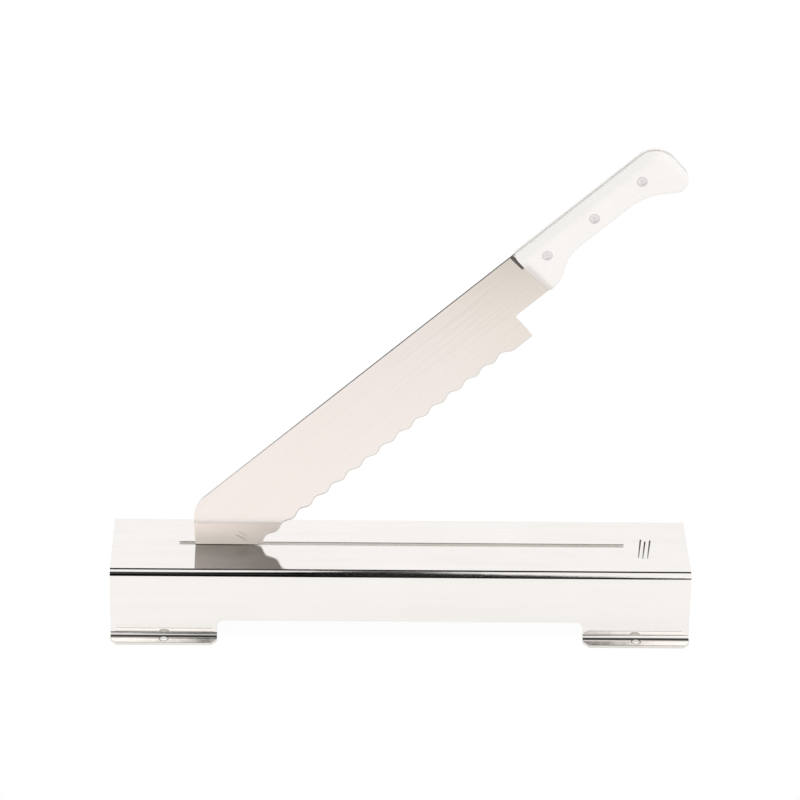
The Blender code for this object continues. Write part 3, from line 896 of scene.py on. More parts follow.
def grip_corners(inset=0.0):
    """From the handle's front bottom corner, under the grip and round the butt."""
    front_bottom = BACK_RISE - FRONT_DEPTH + inset
    grip = BACK_RISE - GRIP_DEPTH + inset
    butt_bottom = BACK_RISE - BUTT_DEPTH + inset
    end = HANDLE_END - inset
    return [
        (NECK_END, front_bottom, 0),
        (HANDLE_FRONT + FRONT_SWELL_LENGTH, front_bottom, FRONT_SWELL_FILLET),
        (HANDLE_FRONT + GRIP_FRONT, grip, GRIP_FRONT_FILLET),
        (HANDLE_END - GRIP_REAR, grip, GRIP_REAR_FILLET),
        (HANDLE_END - BUTT_SWELL_LENGTH, butt_bottom, BUTT_SWELL_FILLET),
        (end, butt_bottom, BUTT_BOTTOM_FILLET),
        (end, BACK_RISE - inset, BUTT_TOP_FILLET),
    ]


def scale_corners():
    """The handle's outline, closed by its front end."""
    return grip_corners() + [
        (HANDLE_FRONT, BACK_RISE, 0),
        (HANDLE_FRONT, BACK_RISE - FRONT_SQUARE_DEPTH, FRONT_EDGE_FILLET),
    ]


def make_scale(side_name, side, material):
    """One moulded half of the handle, its long outer edges rounded, its front end flat."""
    outer = side * HANDLE_SIDE
    scale = drawn_plate(
        f"handle_scale_{side_name}", scale_corners(), side * SCALE_Y, side * SCALE_THICKNESS
    )
    edit(scale)
    pick(
        "EDGE",
        lambda edge: all(abs(spot.co.y - outer) < MERGE_DISTANCE for spot in edge.verts)
        and not all(spot.co.x < NECK_END + MERGE_DISTANCE for spot in edge.verts),
    )
    bpy.ops.mesh.bevel(offset=SCALE_ROUNDING, segments=10, affect="EDGES", clamp_overlap=True)
    tidy_mesh()
    leave()
    seat_radius = RIVET_HEAD_RADIUS + CLOSE_GAP
    seat_depth = 2 * (RIVET_HEAD_THICKNESS + CLOSE_GAP)
    seats = [
        drill_across("rivet_drill", seat_radius, x, outer, RIVET_RISE, seat_depth)
        for x in RIVET_PLACES
    ]
    cut(scale, seats)
    flatten(scale)
    raise_knife(scale)
    paint(scale, material)
    dress(scale, "knife", "handle_plastic", f"scale_{side_name}")


# Rivets


def make_rivet_half(name, side, shank_radius, x, material, node_name, hollow):
    """A rivet's head with its shank: a turned blank, inset and drawn out inwards."""
    under = HANDLE_SIDE - RIVET_HEAD_THICKNESS
    low, high = sorted((side * under, side * HANDLE_SIDE))
    rivet = turned_blank(name, RIVET_HEAD_RADIUS, x, RIVET_RISE, low, high, RIVET_SIDES)
    edit(rivet)
    pick("FACE", lambda face: side * face.normal.y < -FACING)
    bpy.ops.mesh.inset(thickness=RIVET_HEAD_RADIUS - shank_radius, depth=0)
    pull(0, -side * 2 * (under - GAP), 0)
    if hollow:
        bpy.ops.mesh.inset(thickness=shank_radius - RIVET_STUD_RADIUS - GAP, depth=0)
        pull(0, side * 2 * (under - GAP), 0)
    pick("FACE", lambda face: side * face.normal.y > FACING and side * middle(face).y > under)
    bpy.ops.mesh.inset(thickness=RIVET_RIM, depth=0)
    move(0, side * -RIVET_RIM_SINK, 0)
    bpy.ops.mesh.inset(thickness=RIVET_FACE, depth=0)
    bpy.ops.mesh.inset(thickness=RIVET_GROOVE, depth=-RIVET_GROOVE_DEPTH)
    bpy.ops.mesh.inset(thickness=RIVET_CENTRE_RING, depth=RIVET_CENTRE_RISE)
    leave()
    ease_edges(rivet, RIVET_EASING, angle=40)
    raise_knife(rivet)
    paint(rivet, material)
    dress(rivet, "knife", "rivet_steel", node_name)


# Pivot


def make_ring(name, diameter, inner_face, thickness, side, material, slot, node_name):
    """A flat ring on the bolt: a disc, inset on both faces and bridged through."""
    low, high = sorted((side * inner_face, side * (inner_face + thickness)))
    ring = turned_blank(name, diameter / 2, PIVOT.x, PIVOT.z, low, high)
    edit(ring)
    pick("FACE", lambda face: abs(face.normal.y) > FACING)
    bpy.ops.mesh.inset(thickness=(diameter - BOLT_DIAMETER) / 2 - RING_ROOM, depth=0)
    bpy.ops.mesh.bridge_edge_loops()
    tidy_mesh()
    leave()
    ease_edges(ring, RING_EASING, steps=3)
    paint(ring, material)
    dress(ring, "base", slot, node_name)


def round_blank(name, radius, low, high, chamfer=TURNED_CHAMFER):
    """A turned bar with chamfered ends, along Y through the pivot."""
    blank = turned_blank(name, radius, PIVOT.x, PIVOT.z, low, high)
    edit(blank)
    pick("FACE", lambda face: abs(face.normal.y) > FACING)
    bpy.ops.mesh.bevel(offset=chamfer, segments=1, affect="EDGES")
    leave()
    return blank


def hex_bar(name, low, high):
    """A six-sided bar whose corners a turned blank has taken off."""
    bar = turned_blank(name, HEX_CORNER_RADIUS, PIVOT.x, PIVOT.z, low, high, sides=6)
    cut(bar, [round_blank("corner_blank", HEX_CORNER_RADIUS, low, high)], "INTERSECT")
    return bar


def threaded_bar(name, low, high):
    """A bar with a real thread: one tooth's outline screwed along the axis, then trimmed."""
    major = BOLT_DIAMETER / 2
    bar = start_outline(name, major - THREAD_DEPTH, 0, 0)
    pull(THREAD_DEPTH, 0, THREAD_PITCH / 2)
    pull(-THREAD_DEPTH, 0, THREAD_PITCH / 2)
    leave()
    screw = bar.modifiers.new("Thread", "SCREW")
    screw.steps = 32
    screw.render_steps = 32
    screw.iterations = round((high - low) / THREAD_PITCH) + 2
    screw.screw_offset = THREAD_PITCH
    screw.use_merge_vertices = True
    screw.merge_threshold = MERGE_DISTANCE
    finish_modifiers(bar)
    edit(bar)
    bpy.ops.mesh.select_all(action="SELECT")
    bpy.ops.mesh.remove_doubles(threshold=MERGE_DISTANCE)
    bpy.ops.mesh.select_non_manifold()
    bpy.ops.mesh.edge_face_add()
    tidy_mesh()
    leave()
    place(bar, (PIVOT.x, low - THREAD_PITCH, PIVOT.z), (-pi / 2, 0, 0))
    cut(bar, [round_blank("thread_blank", major, low, high)], "INTERSECT")
    return bar


def finish_fastener(piece, material, node_name):
    """Shades and paints the bolt or its nut and fixes it to the base."""
    only(piece)
    bpy.ops.object.shade_smooth_by_angle(angle=FASTENER_SMOOTH_ANGLE)
    paint(piece, material)
    dress(piece, "base", "fastener_steel", node_name)


def make_bolt(material):
    """A hexagon bolt: head, plain shank and threaded end in one."""
    join = 0.001
    bolt = hex_bar("hexagon_bolt", -HEX_Y - BOLT_HEAD_HEIGHT, -HEX_Y)
    shank = round_blank("shank", BOLT_DIAMETER / 2, -HEX_Y - join, WASHER_Y, SHANK_CHAMFER)
    thread = threaded_bar("thread", WASHER_Y - join, BOLT_END_Y)
    cut(bolt, [shank, thread], "UNION")
    finish_fastener(bolt, material, "pivot_bolt")


def make_nut(material):
    """A hexagon nut, bored through."""
    past = 0.001
    nut = hex_bar("hexagon_nut", HEX_Y, HEX_Y + NUT_HEIGHT)
    radius = BOLT_DIAMETER / 2 + CLOSE_GAP
    end = HEX_Y + NUT_HEIGHT
    bore = round_blank("nut_bore", radius, HEX_Y - past, end + past, BORE_CHAMFER)
    cut(nut, [bore])
    finish_fastener(nut, material, "pivot_nut")


def make_lug(side_name, side, material):
    """A plate on edge under the top, its lower corners rounded."""
    half = LUG_LENGTH / 2
    bottom = PIVOT.z - LUG_BELOW_PIVOT
    lug = block(
        f"pivot_lug_{side_name}",
        (PIVOT.x - half, PIVOT.x + half),
        sorted((side * LUG_Y, side * (LUG_Y + LUG_THICKNESS))),
        (bottom, BASE_HEIGHT - SHEET - CLOSE_GAP),
    )

    def is_lower_corner(edge):
        spot = middle(edge)
        low_enough = spot.z < PIVOT.z - LUG_BELOW_PIVOT * FAR_OUT
        return abs(spot.x - PIVOT.x) > half * FAR_OUT and low_enough

    edit(lug)
    pick("EDGE", is_lower_corner)
    bpy.ops.mesh.bevel(offset=LUG_FILLET, segments=14, affect="EDGES")
    leave()
    lug_y = side * (LUG_Y + LUG_THICKNESS / 2)
    bore = BOLT_DIAMETER / 2 + GAP
    cut(lug, [drill_across("bolt_drill", bore, PIVOT.x, lug_y, PIVOT.z, 2 * LUG_THICKNESS)])
    ease_edges(lug, LUG_EASING, steps=3)
    paint(lug, material)
    dress(lug, "base", "lug_steel", f"lug_{side_name}")


def make_weld(side_name, side, material):
    """A weld bead along the lug's outer side: one drop, repeated and melted together."""
    count = round((LUG_LENGTH - WELD_SHORTFALL) / WELD_PITCH)
    under_top = BASE_HEIGHT - SHEET
    bpy.ops.object.select_all(action="DESELECT")
    bpy.ops.mesh.primitive_uv_sphere_add(
        segments=20,
        ring_count=12,
        radius=WELD_RADIUS,
        location=(
            PIVOT.x - WELD_PITCH * (count - 1) / 2,
            side * (LUG_Y + LUG_THICKNESS + CLOSE_GAP),
            under_top - CLOSE_GAP,
        ),
    )
    weld = fresh(f"weld_bead_{side_name}")
    edit(weld)
    bpy.ops.mesh.select_all(action="SELECT")
    bpy.ops.transform.resize(value=WELD_SQUASH, center_override=weld.data.vertices[0].co)
    bpy.ops.mesh.bisect(
        plane_co=(0, 0, under_top + GAP), plane_no=(0, 0, 1), use_fill=True, clear_outer=True
    )
    leave()
    row = weld.modifiers.new("Row", "ARRAY")
    row.count = count
    row.use_relative_offset = False
    row.use_constant_offset = True
    row.constant_offset_displace = (WELD_PITCH, 0, 0)
    melt = weld.modifiers.new("Melt", "REMESH")
    melt.mode = "VOXEL"
    melt.voxel_size = WELD_FINENESS
    smooth = weld.modifiers.new("Smooth", "SMOOTH")
    smooth.factor = 0.5
    smooth.iterations = 2
    finish_modifiers(weld)
    only(weld)
    bpy.ops.object.shade_smooth()
    paint(weld, material)
    dress(weld, "base", "lug_steel")


# Materials


def new_material(name):
    material = bpy.data.materials.new(name)
    material.use_nodes = True
    return material, material.node_tree


def node(tree, kind, **settings):
    added = tree.nodes.new(kind)
    for name, value in settings.items():
        setattr(added, name, value)
    return added


def maths(tree, operation, first, second=0):
    added = node(tree, "ShaderNodeMath", operation=operation)
    for place_number, value in enumerate((first, second)):
        if isinstance(value, (int, float)):
            added.inputs[place_number].default_value = value
        else:
            tree.links.new(value, added.inputs[place_number])
    return added.outputs[0]


def plus(tree, first, second):
    return maths(tree, "ADD", first, second)


def minus(tree, first, second):
    return maths(tree, "SUBTRACT", first, second)


def times(tree, first, *others):
    for other in others:
        first = maths(tree, "MULTIPLY", first, other)
    return first


def largest(tree, first, *others):
    for other in others:
        first = maths(tree, "MAXIMUM", first, other)
    return first


def unsigned(tree, value):
    return maths(tree, "ABSOLUTE", value)


def distance(tree, first, second):
    """How far a place lies from another, from its two offsets."""
    squares = plus(tree, times(tree, first, first), times(tree, second, second))
    return maths(tree, "SQRT", squares)


def ramp(tree, value, start, end, falling=False):
    """Rises smoothly from 0 to 1 between two values, or falls from 1 to 0."""
    mapped = node(tree, "ShaderNodeMapRange", interpolation_type="SMOOTHSTEP")
    mapped.inputs["From Min"].default_value = start
    mapped.inputs["From Max"].default_value = end
    mapped.inputs["To Min"].default_value = 1 if falling else 0
    mapped.inputs["To Max"].default_value = 0 if falling else 1
    tree.links.new(value, mapped.inputs["Value"])
    return mapped.outputs["Result"]


def spread(tree, value, low, high):
    """Maps a texture's middle range onto low to high."""
    mapped = node(tree, "ShaderNodeMapRange", clamp=True)
    mapped.inputs["From Min"].default_value = TEXTURE_LOW
    mapped.inputs["From Max"].default_value = TEXTURE_HIGH
    mapped.inputs["To Min"].default_value = low
    mapped.inputs["To Max"].default_value = high
    tree.links.new(value, mapped.inputs["Value"])
    return mapped.outputs["Result"]


def object_pattern(tree, stretch=(1, 1, 1), turn_y=0.0):
    """Object coordinates, turned along the piece and then stretched."""
    source = node(tree, "ShaderNodeTexCoord")
    turned = node(tree, "ShaderNodeMapping", vector_type="POINT")
    turned.inputs["Rotation"].default_value = (0, turn_y, 0)
    stretched = node(tree, "ShaderNodeMapping", vector_type="POINT")
    stretched.inputs["Scale"].default_value = stretch
    tree.links.new(source.outputs["Object"], turned.inputs["Vector"])
    tree.links.new(turned.outputs["Vector"], stretched.inputs["Vector"])
    return stretched.outputs["Vector"]


def local_parts(tree, at=(0, 0, 0), turn=(0, 0, 0)):
    """X, Y and Z of object coordinates, seen from a place on the piece and turned with it."""
    source = node(tree, "ShaderNodeTexCoord")
    local = node(tree, "ShaderNodeMapping", vector_type="TEXTURE")
    local.inputs["Location"].default_value = at
    local.inputs["Rotation"].default_value = turn
    parts = node(tree, "ShaderNodeSeparateXYZ")
    tree.links.new(source.outputs["Object"], local.inputs["Vector"])
    tree.links.new(local.outputs["Vector"], parts.inputs["Vector"])
    return parts.outputs


def knife_parts(tree):
    """Along the raised knife from the pivot, across it, and up to its back."""
    return local_parts(tree, PIVOT, (0, -KNIFE_ANGLE, 0))


def noise(tree, vector, scale, detail):
    texture = node(tree, "ShaderNodeTexNoise")
    texture.inputs["Scale"].default_value = scale
    texture.inputs["Detail"].default_value = detail
    tree.links.new(vector, texture.inputs["Vector"])
    return texture.outputs["Fac"]


def tint(tree, factor, colour_a, colour_b):
    mixed = node(tree, "ShaderNodeMix", data_type="RGBA")
    mixed.inputs[6].default_value = (*colour_a, 1)
    mixed.inputs[7].default_value = (*colour_b, 1)
    tree.links.new(factor, mixed.inputs[0])
    return mixed.outputs[2]


def bump(tree, height, strength, depth):
    added = node(tree, "ShaderNodeBump")
    added.inputs["Strength"].default_value = strength
    added.inputs["Distance"].default_value = depth
    tree.links.new(height, added.inputs["Height"])
    return added.outputs["Normal"]


def brushed_steel(
    name, colour, dull, roughness, stretch=EVEN_GRAIN, turn_y=0.0, relief=0.03, wave=0.0, lean=0.0
):
    """Steel brushed along one direction, a little smudged from handling. A lean tips the
    upright faces' shine back by that angle, as a fold that isn't quite square does."""
    material, tree = new_material(name)
    shader = tree.nodes["Principled BSDF"]
    shader.inputs["Metallic"].default_value = 1
    grain = noise(tree, object_pattern(tree, stretch, turn_y), GRAIN_FINENESS, 4)
    smudge = noise(tree, object_pattern(tree, EVEN_GRAIN, turn_y), SMUDGE_FINENESS, 3)
    streaks = noise(tree, object_pattern(tree, STREAK_STRETCH, turn_y), STREAK_FINENESS, 3)
    worn = times(tree, plus(tree, smudge, streaks), 0.5)
    tree.links.new(tint(tree, spread(tree, worn, 0, 1), colour, dull), shader.inputs["Base Color"])
    tree.links.new(spread(tree, grain, *roughness), shader.inputs["Roughness"])
    brushed = bump(tree, grain, relief, GRAIN_DEPTH)
    under = brushed
    if wave:
        ripple = noise(tree, object_pattern(tree, RIPPLE_STRETCH, turn_y), RIPPLE_FINENESS, 2)
        rippled = bump(tree, ripple, wave, RIPPLE_DEPTH)
        tree.links.new(rippled, under.node.inputs["Normal"])
        under = rippled
    if lean:
        height = local_parts(tree)["Z"]
        tipped = bump(tree, times(tree, height, -tan(lean)), 1, 1)
        tree.links.new(tipped, under.node.inputs["Normal"])
    tree.links.new(brushed, shader.inputs["Normal"])
    return material


def white_plastic(name, colour, cloudy):
    """Moulded plastic with a fine satin grain."""
    material, tree = new_material(name)
    shader = tree.nodes["Principled BSDF"]
    shader.inputs["IOR"].default_value = PLASTIC_IOR
    grain = noise(tree, object_pattern(tree), PLASTIC_FINENESS, 3)
    cloud = noise(tree, object_pattern(tree), CLOUD_FINENESS, 2)
    tree.links.new(
        tint(tree, spread(tree, cloud, 0, 1), colour, cloudy), shader.inputs["Base Color"]
    )
    tree.links.new(spread(tree, grain, *PLASTIC_ROUGHNESS), shader.inputs["Roughness"])
    relief = bump(tree, grain, PLASTIC_RELIEF, PLASTIC_DEPTH)
    tree.links.new(relief, shader.inputs["Normal"])
    return material


def overlay(material, mask, colour):
    """Lays a colour over a material where a mask is white."""
    tree = material.node_tree
    shader = tree.nodes["Principled BSDF"]
    under = shader.inputs["Base Color"].links[0].from_socket
    mixed = node(tree, "ShaderNodeMix", data_type="RGBA")
    mixed.inputs[7].default_value = (*colour, 1)
    tree.links.new(mask, mixed.inputs[0])
    tree.links.new(under, mixed.inputs[6])
    tree.links.new(mixed.outputs[2], shader.inputs["Base Color"])


def roughen(material, mask, roughness):
    """Gives a material another roughness where a mask is white."""
    tree = material.node_tree
    shader = tree.nodes["Principled BSDF"]
    under = shader.inputs["Roughness"].links[0].from_socket
    mixed = node(tree, "ShaderNodeMix", data_type="FLOAT")
    mixed.inputs[3].default_value = roughness
    tree.links.new(mask, mixed.inputs[0])
    tree.links.new(under, mixed.inputs[2])
    tree.links.new(mixed.outputs[0], shader.inputs["Roughness"])


# Marks, and painted shade and reflections, on the pieces


def ramp_past(tree, value, line, fade, falling=False):
    """A ramp whose fade is measured from a line."""
    start, end = fade
    return ramp(tree, value, line + start, line + end, falling=falling)


def score_strokes(material):
    """The strokes across the top, each widest and deepest at the rear."""
    tree = material.node_tree
    for front, rear in SCORED_STROKES:
        along = Vector(rear) - Vector(front)
        centre = (Vector(rear) + Vector(front)) / 2
        half = along.length / 2
        x, y, z = local_parts(
            tree, (centre.x, centre.y, BASE_HEIGHT), (0, 0, -atan2(along.x, along.y))
        )
        width = plus(tree, times(tree, ramp(tree, y, -half, half), STROKE_WIDENING), STROKE_WIDTH)
        off_line = maths(tree, "DIVIDE", unsigned(tree, x), width)
        stroke = times(
            tree,
            ramp(tree, off_line, STROKE_CORE, 1, falling=True),
            ramp(tree, y, *[half * share for share in STROKE_DEEPENING]),
            ramp(tree, y, *[half * share for share in STROKE_FRONT_FADE]),
            ramp(tree, y, *[half * share for share in STROKE_REAR_FADE], falling=True),
            ramp(tree, z, *STROKE_DEPTH_FADE),
        )
        overlay(material, stroke, STROKE_COLOUR)


def shade_feet_edges(material):
    """Painted shade in each foot's fold, and painted dark lines along its edge and round its hole.
    """
    tree = material.node_tree
    x, y, z = local_parts(tree)
    aside = unsigned(tree, y)
    fold_end = BASE_WIDTH / 2 + FOOT_BEND_RADIUS
    # Painted shade: a dark line along the crease of each foot's fold
    in_fold = times(
        tree,
        ramp_past(tree, z, SHEET, FOLD_SHADE_RISE_FADE, falling=True),
        ramp_past(tree, aside, fold_end, FOLD_SHADE_REACH_FADE, falling=True),
    )
    overlay(material, in_fold, FOLD_SHADE_COLOUR)
    # Painted shade: dark lines along the foot's edge and round its screw hole
    on_foot = ramp_past(tree, z, SHEET, FOOT_TOP_FADE, falling=True)
    along_edge = ramp_past(tree, aside, BASE_WIDTH / 2 + FOOT_REACH, FOOT_EDGE_SHADE_FADE)
    overlay(material, times(tree, along_edge, on_foot, FOOT_EDGE_SHADE_STRENGTH), EDGE_SHADE_COLOUR)
    across_hole = minus(tree, aside, FOOT_HOLE_Y)
    along_hole = minus(tree, unsigned(tree, x), FOOT_HOLE_X)
    apart = distance(tree, along_hole, across_hole)
    round_hole = ramp_past(tree, apart, FOOT_HOLE_DIAMETER / 2, HOLE_SHADE_FADE, falling=True)
    overlay(material, times(tree, round_hole, on_foot, HOLE_SHADE_STRENGTH), EDGE_SHADE_COLOUR)


def shade_behind_slot(material):
    """Painted shade behind the slot, as far as the slot reaches."""
    tree = material.node_tree
    x, y, z = local_parts(tree)
    slot_middle = (SLOT_TIP_END + SLOT_HANDLE_END) / 2
    slot_reach = (SLOT_HANDLE_END - SLOT_TIP_END) / 2
    from_middle = unsigned(tree, minus(tree, x, slot_middle))
    # Painted shade on the top, just behind the slot's rear edge
    rim = times(
        tree,
        ramp_past(tree, y, SLOT_REAR, RIM_REAR_FADE, falling=True),
        ramp_past(tree, y, SLOT_REAR, RIM_FRONT_FADE),
        ramp_past(tree, z, BASE_HEIGHT, RIM_DEPTH_FADE),
        ramp_past(tree, from_middle, slot_reach, RIM_END_FADE, falling=True),
        SLOT_SHADE_STRENGTH,
    )
    overlay(material, rim, SLOT_SHADE_COLOUR)


def shade_front_bend(material):
    """A painted dark reflection along the front bend, from the tip end to the middle."""
    tree = material.node_tree
    x, y, z = local_parts(tree)
    # Painted dark reflection: a band on the upper part of the front bend
    bend_shade = times(
        tree,
        ramp_past(tree, z, BASE_HEIGHT, BEND_SHADE_TOP_FADE, falling=True),
        ramp_past(tree, z, BASE_HEIGHT, BEND_SHADE_BOTTOM_FADE),
        ramp_past(tree, y, -BASE_WIDTH / 2, BEND_SHADE_REAR_FADE, falling=True),
        ramp(tree, x, *BEND_SHADE_END_FADE, falling=True),
    )
    overlay(material, bend_shade, BEND_SHADE_COLOUR)


def rub_arcs(material):
    """Fine arcs that the blade's face has got from turning in the slot."""
    tree = material.node_tree
    x, _, z = knife_parts(tree)
    radius = distance(tree, x, z)
    heading = maths(tree, "ARCTAN2", z, x)
    for arc_radius, low, high, strength in RUBBED_ARCS:
        off_arc = unsigned(tree, minus(tree, radius, arc_radius))
        arc = times(
            tree,
            ramp(tree, off_arc, *ARC_SIDE_FADE, falling=True),
            ramp(tree, heading, radians(low), radians(low + ARC_START_DEGREES)),
            ramp(tree, heading, radians(high - ARC_END_DEGREES), radians(high), falling=True),
            strength,
        )
        overlay(material, arc, ARC_COLOUR)


def shade_neck(material):
    """Painted shade, warmer and darker, on the blade towards the handle, and beside the handle
    painted reflections of its front end: a dark patch and a pale strip.
    """
    tree = material.node_tree
    x, _, z = knife_parts(tree)
    from_back = minus(tree, BACK_RISE, z)
    # Painted shade: warmer and darker towards the handle
    overlay(material, times(tree, ramp(tree, x, *NECK_SHADE_FADE), NECK_SHADE_STRENGTH), NECK_SHADE_COLOUR)
    # Painted dark reflection of the handle's front end, at the top of the blade
    patch_x = plus(tree, times(tree, from_back, DARK_REFLECTION_SLANT), HANDLE_FRONT - DARK_REFLECTION_SETBACK)
    off_patch = unsigned(tree, minus(tree, x, patch_x))
    off_patch = minus(tree, off_patch, times(tree, from_back, DARK_REFLECTION_WIDENING))
    patch = times(
        tree,
        ramp(tree, off_patch, *DARK_REFLECTION_SIDE_FADE, falling=True),
        ramp(tree, from_back, *DARK_REFLECTION_END_FADE, falling=True),
        DARK_REFLECTION_STRENGTH,
    )
    # Painted pale reflection of the handle's front end, with a darker painted line along its edge
    strip_x = plus(tree, times(tree, from_back, FRONT_END_SLANT), HANDLE_FRONT - STRIP_WIDTH)
    past_strip = minus(tree, x, strip_x)
    below_patch = ramp(tree, from_back, *STRIP_START_FADE)
    strip = times(tree, ramp(tree, past_strip, *STRIP_SIDE_FADE), below_patch)
    overlay(material, strip, PALE_REFLECTION_COLOUR)
    line = ramp(tree, unsigned(tree, past_strip), *STRIP_LINE_FADE, falling=True)
    overlay(material, times(tree, line, below_patch, STRIP_LINE_STRENGTH), PALE_REFLECTION_EDGE_COLOUR)
    overlay(material, patch, DARK_REFLECTION_COLOUR)


def shade_and_dull_over_slot(material):
    """Painted shade, greenish grey, low on the blade over the slot, and a duller finish where it
    stands in the slot at rest.
    """
    tree = material.node_tree
    x, _, z = local_parts(tree)
    # Painted shade low on the blade near the plate, weaker away from the pivot
    low = ramp_past(tree, z, BASE_HEIGHT, LOW_SHADE_RISE_FADE, falling=True)
    fading = minus(tree, 1, times(tree, ramp(tree, x, *LOW_SHADE_PALING_FADE), LOW_SHADE_PALING))
    overlay(material, times(tree, low, fading, LOW_SHADE_STRENGTH), LOW_SHADE_COLOUR)
    duller = ramp_past(tree, z, BASE_HEIGHT, DULLED_RISE_FADE, falling=True)
    roughen(material, duller, DULLED_ROUGHNESS)


def shade_blade_back(material):
    """Painted shade along the blade's back, fading out towards the tip."""
    tree = material.node_tree
    x, _, z = knife_parts(tree)
    # Painted shade along the back
    back = times(
        tree,
        ramp_past(tree, z, BACK_RISE, BACK_SHADE_TOP_FADE),
        ramp(tree, x, *BACK_SHADE_START_FADE),
        BACK_SHADE_STRENGTH,
    )
    overlay(material, back, BACK_SHADE_COLOUR)


def shade_handle(material):
    """Painted shade on the plastic: grey along its back and round the rivets, beige at its front
    end.
    """
    tree = material.node_tree
    x, _, z = knife_parts(tree)
    from_back = minus(tree, BACK_RISE, z)
    # Painted shade along the handle's back edge
    greyed = ramp(tree, from_back, *HANDLE_TOP_SHADE_FADE, falling=True)
    overlay(material, times(tree, greyed, HANDLE_TOP_SHADE_STRENGTH), HANDLE_TOP_SHADE_COLOUR)
    # Painted shade, beige, on the handle's front end
    from_front = minus(tree, x, times(tree, from_back, FRONT_END_SLANT))
    front_end = times(
        tree,
        ramp_past(tree, from_front, HANDLE_FRONT, FRONT_END_SHADE_REACH_FADE, falling=True),
        ramp(tree, from_back, *FRONT_END_SHADE_START_FADE),
    )
    overlay(material, front_end, FRONT_END_SHADE_COLOUR)
    # Painted shade round each rivet head
    rise = minus(tree, z, RIVET_RISE)
    for rivet_x in RIVET_PLACES:
        apart = distance(tree, minus(tree, x, rivet_x), rise)
        halo = ramp_past(tree, apart, RIVET_HEAD_RADIUS, RIVET_SHADE_FADE, falling=True)
        overlay(material, times(tree, halo, RIVET_SHADE_STRENGTH), RIVET_SHADE_COLOUR)


# Surroundings: a white tent with narrow gaps, as polished steel shows it


def between(tree, value, low, low_soft, high, high_soft):
    """White from low to high, with an edge as soft as given at each."""
    rising = ramp(tree, value, low - low_soft, low + low_soft)
    falling = ramp(tree, value, high - high_soft, high + high_soft, falling=True)
    return times(tree, rising, falling)


def leans(tree, lean, zone):
    """White where a lean lies in a zone, which is given in degrees."""
    return between(tree, lean, *[radians(angle) for angle in zone])


def lean_ramp(tree, lean, fade, falling=False):
    """A ramp over a lean, for a fade given in degrees."""
    start, end = fade
    return ramp(tree, lean, radians(start), radians(end), falling=falling)


def beside(tree, across, left_fade, right_fade):
    """White on both sides of an opening in the tent, fading out towards it."""
    left = ramp(tree, across, *left_fade, falling=True)
    right = ramp(tree, across, *right_fade)
    return plus(tree, left, right)


def camera_side_of_tent(tree, lean, across):
    """The dark behind the camera: an opening that narrows upwards between slanting edges,
    and a band low down across all of its left."""
    above_table = lean_ramp(tree, lean, OPENING_LOW_FADE, falling=True)
    left_edge = plus(tree, lean, times(tree, across, OPENING_LEFT_SLANT))
    right_edge = minus(tree, lean, times(tree, across, OPENING_RIGHT_SLANT))
    opening = times(
        tree,
        ramp(tree, left_edge, *OPENING_LEFT_FADE),
        ramp(tree, right_edge, *OPENING_RIGHT_FADE),
        above_table,
    )
    low_band = times(
        tree,
        lean_ramp(tree, lean, LOW_BAND_FADE),
        ramp(tree, across, *LOW_BAND_RIGHT_FADE, falling=True),
        above_table,
    )
    return opening, low_band


def flaps_of_tent(tree, lean, across):
    """Three pale flaps that hang across the dark behind the camera."""
    flap = times(tree, leans(tree, lean, FLAP_LEAN), beside(tree, across, *FLAP_SIDES))
    low_flap = times(
        tree, leans(tree, lean, LOW_FLAP_LEAN), beside(tree, across, *LOW_FLAP_SIDES)
    )
    fading = ramp(tree, across, *FAINT_FLAP_FADE, falling=True)
    faint_flap = times(
        tree,
        leans(tree, lean, FAINT_FLAP_LEAN),
        between(tree, across, *FAINT_FLAP_ACROSS),
        plus(tree, times(tree, fading, FAINT_FLAP_RISE), FAINT_FLAP_LOW),
    )
    return flap, low_flap, faint_flap


def shine_of_tent(tree, lean, across):
    """How bright the tent is in polished metal. Near the photograph's line of view it has
    its seam, its gaps and its flaps, and away from it two dark bands along the roof."""
    near_camera = between(tree, across, *NEAR_CAMERA_ACROSS)
    away = minus(tree, 1, near_camera)
    overhead = times(
        tree,
        leans(tree, lean, OVERHEAD_LEAN),
        between(tree, across, *OVERHEAD_ACROSS),
        OVERHEAD_SHARE,
    )
    low_gap = times(
        tree,
        leans(tree, lean, LOW_GAP_LEAN),
        between(tree, across, *LOW_GAP_ACROSS),
        LOW_GAP_SHARE,
    )
    opening, low_band = camera_side_of_tent(tree, lean, across)
    flap, low_flap, faint_flap = flaps_of_tent(tree, lean, across)
    opening = times(tree, opening, minus(tree, 1, largest(tree, flap, low_flap, faint_flap)))
    dark = times(tree, largest(tree, overhead, opening, low_band, low_gap), near_camera)
    side_band = times(
        tree,
        leans(tree, lean, SIDE_BAND_LEAN),
        between(tree, unsigned(tree, across), *SIDE_BAND_ACROSS),
    )
    in_roof_bands = leans(tree, unsigned(tree, lean), ROOF_BANDS_LEAN)
    roof_bands = times(tree, in_roof_bands, away, ROOF_BANDS_SHARE)
    dark = largest(tree, dark, roof_bands, side_band)
    seam = times(tree, leans(tree, lean, SEAM_LEAN), near_camera)
    below_level = times(
        tree, lean_ramp(tree, lean, TABLE_FADE, falling=True), lean_ramp(tree, lean, LEVEL_FADE)
    )
    kept = times(
        tree,
        minus(tree, 1, times(tree, dark, GAP_DARKNESS)),
        minus(tree, 1, times(tree, seam, SEAM_DARKNESS)),
        minus(tree, 1, times(tree, below_level, BELOW_LEVEL_DARKNESS)),
    )
    lift = plus(tree, times(tree, flap, FLAP_LIFT), times(tree, low_flap, LOW_FLAP_LIFT))
    return times(tree, plus(tree, kept, lift), SHINE_STRENGTH)


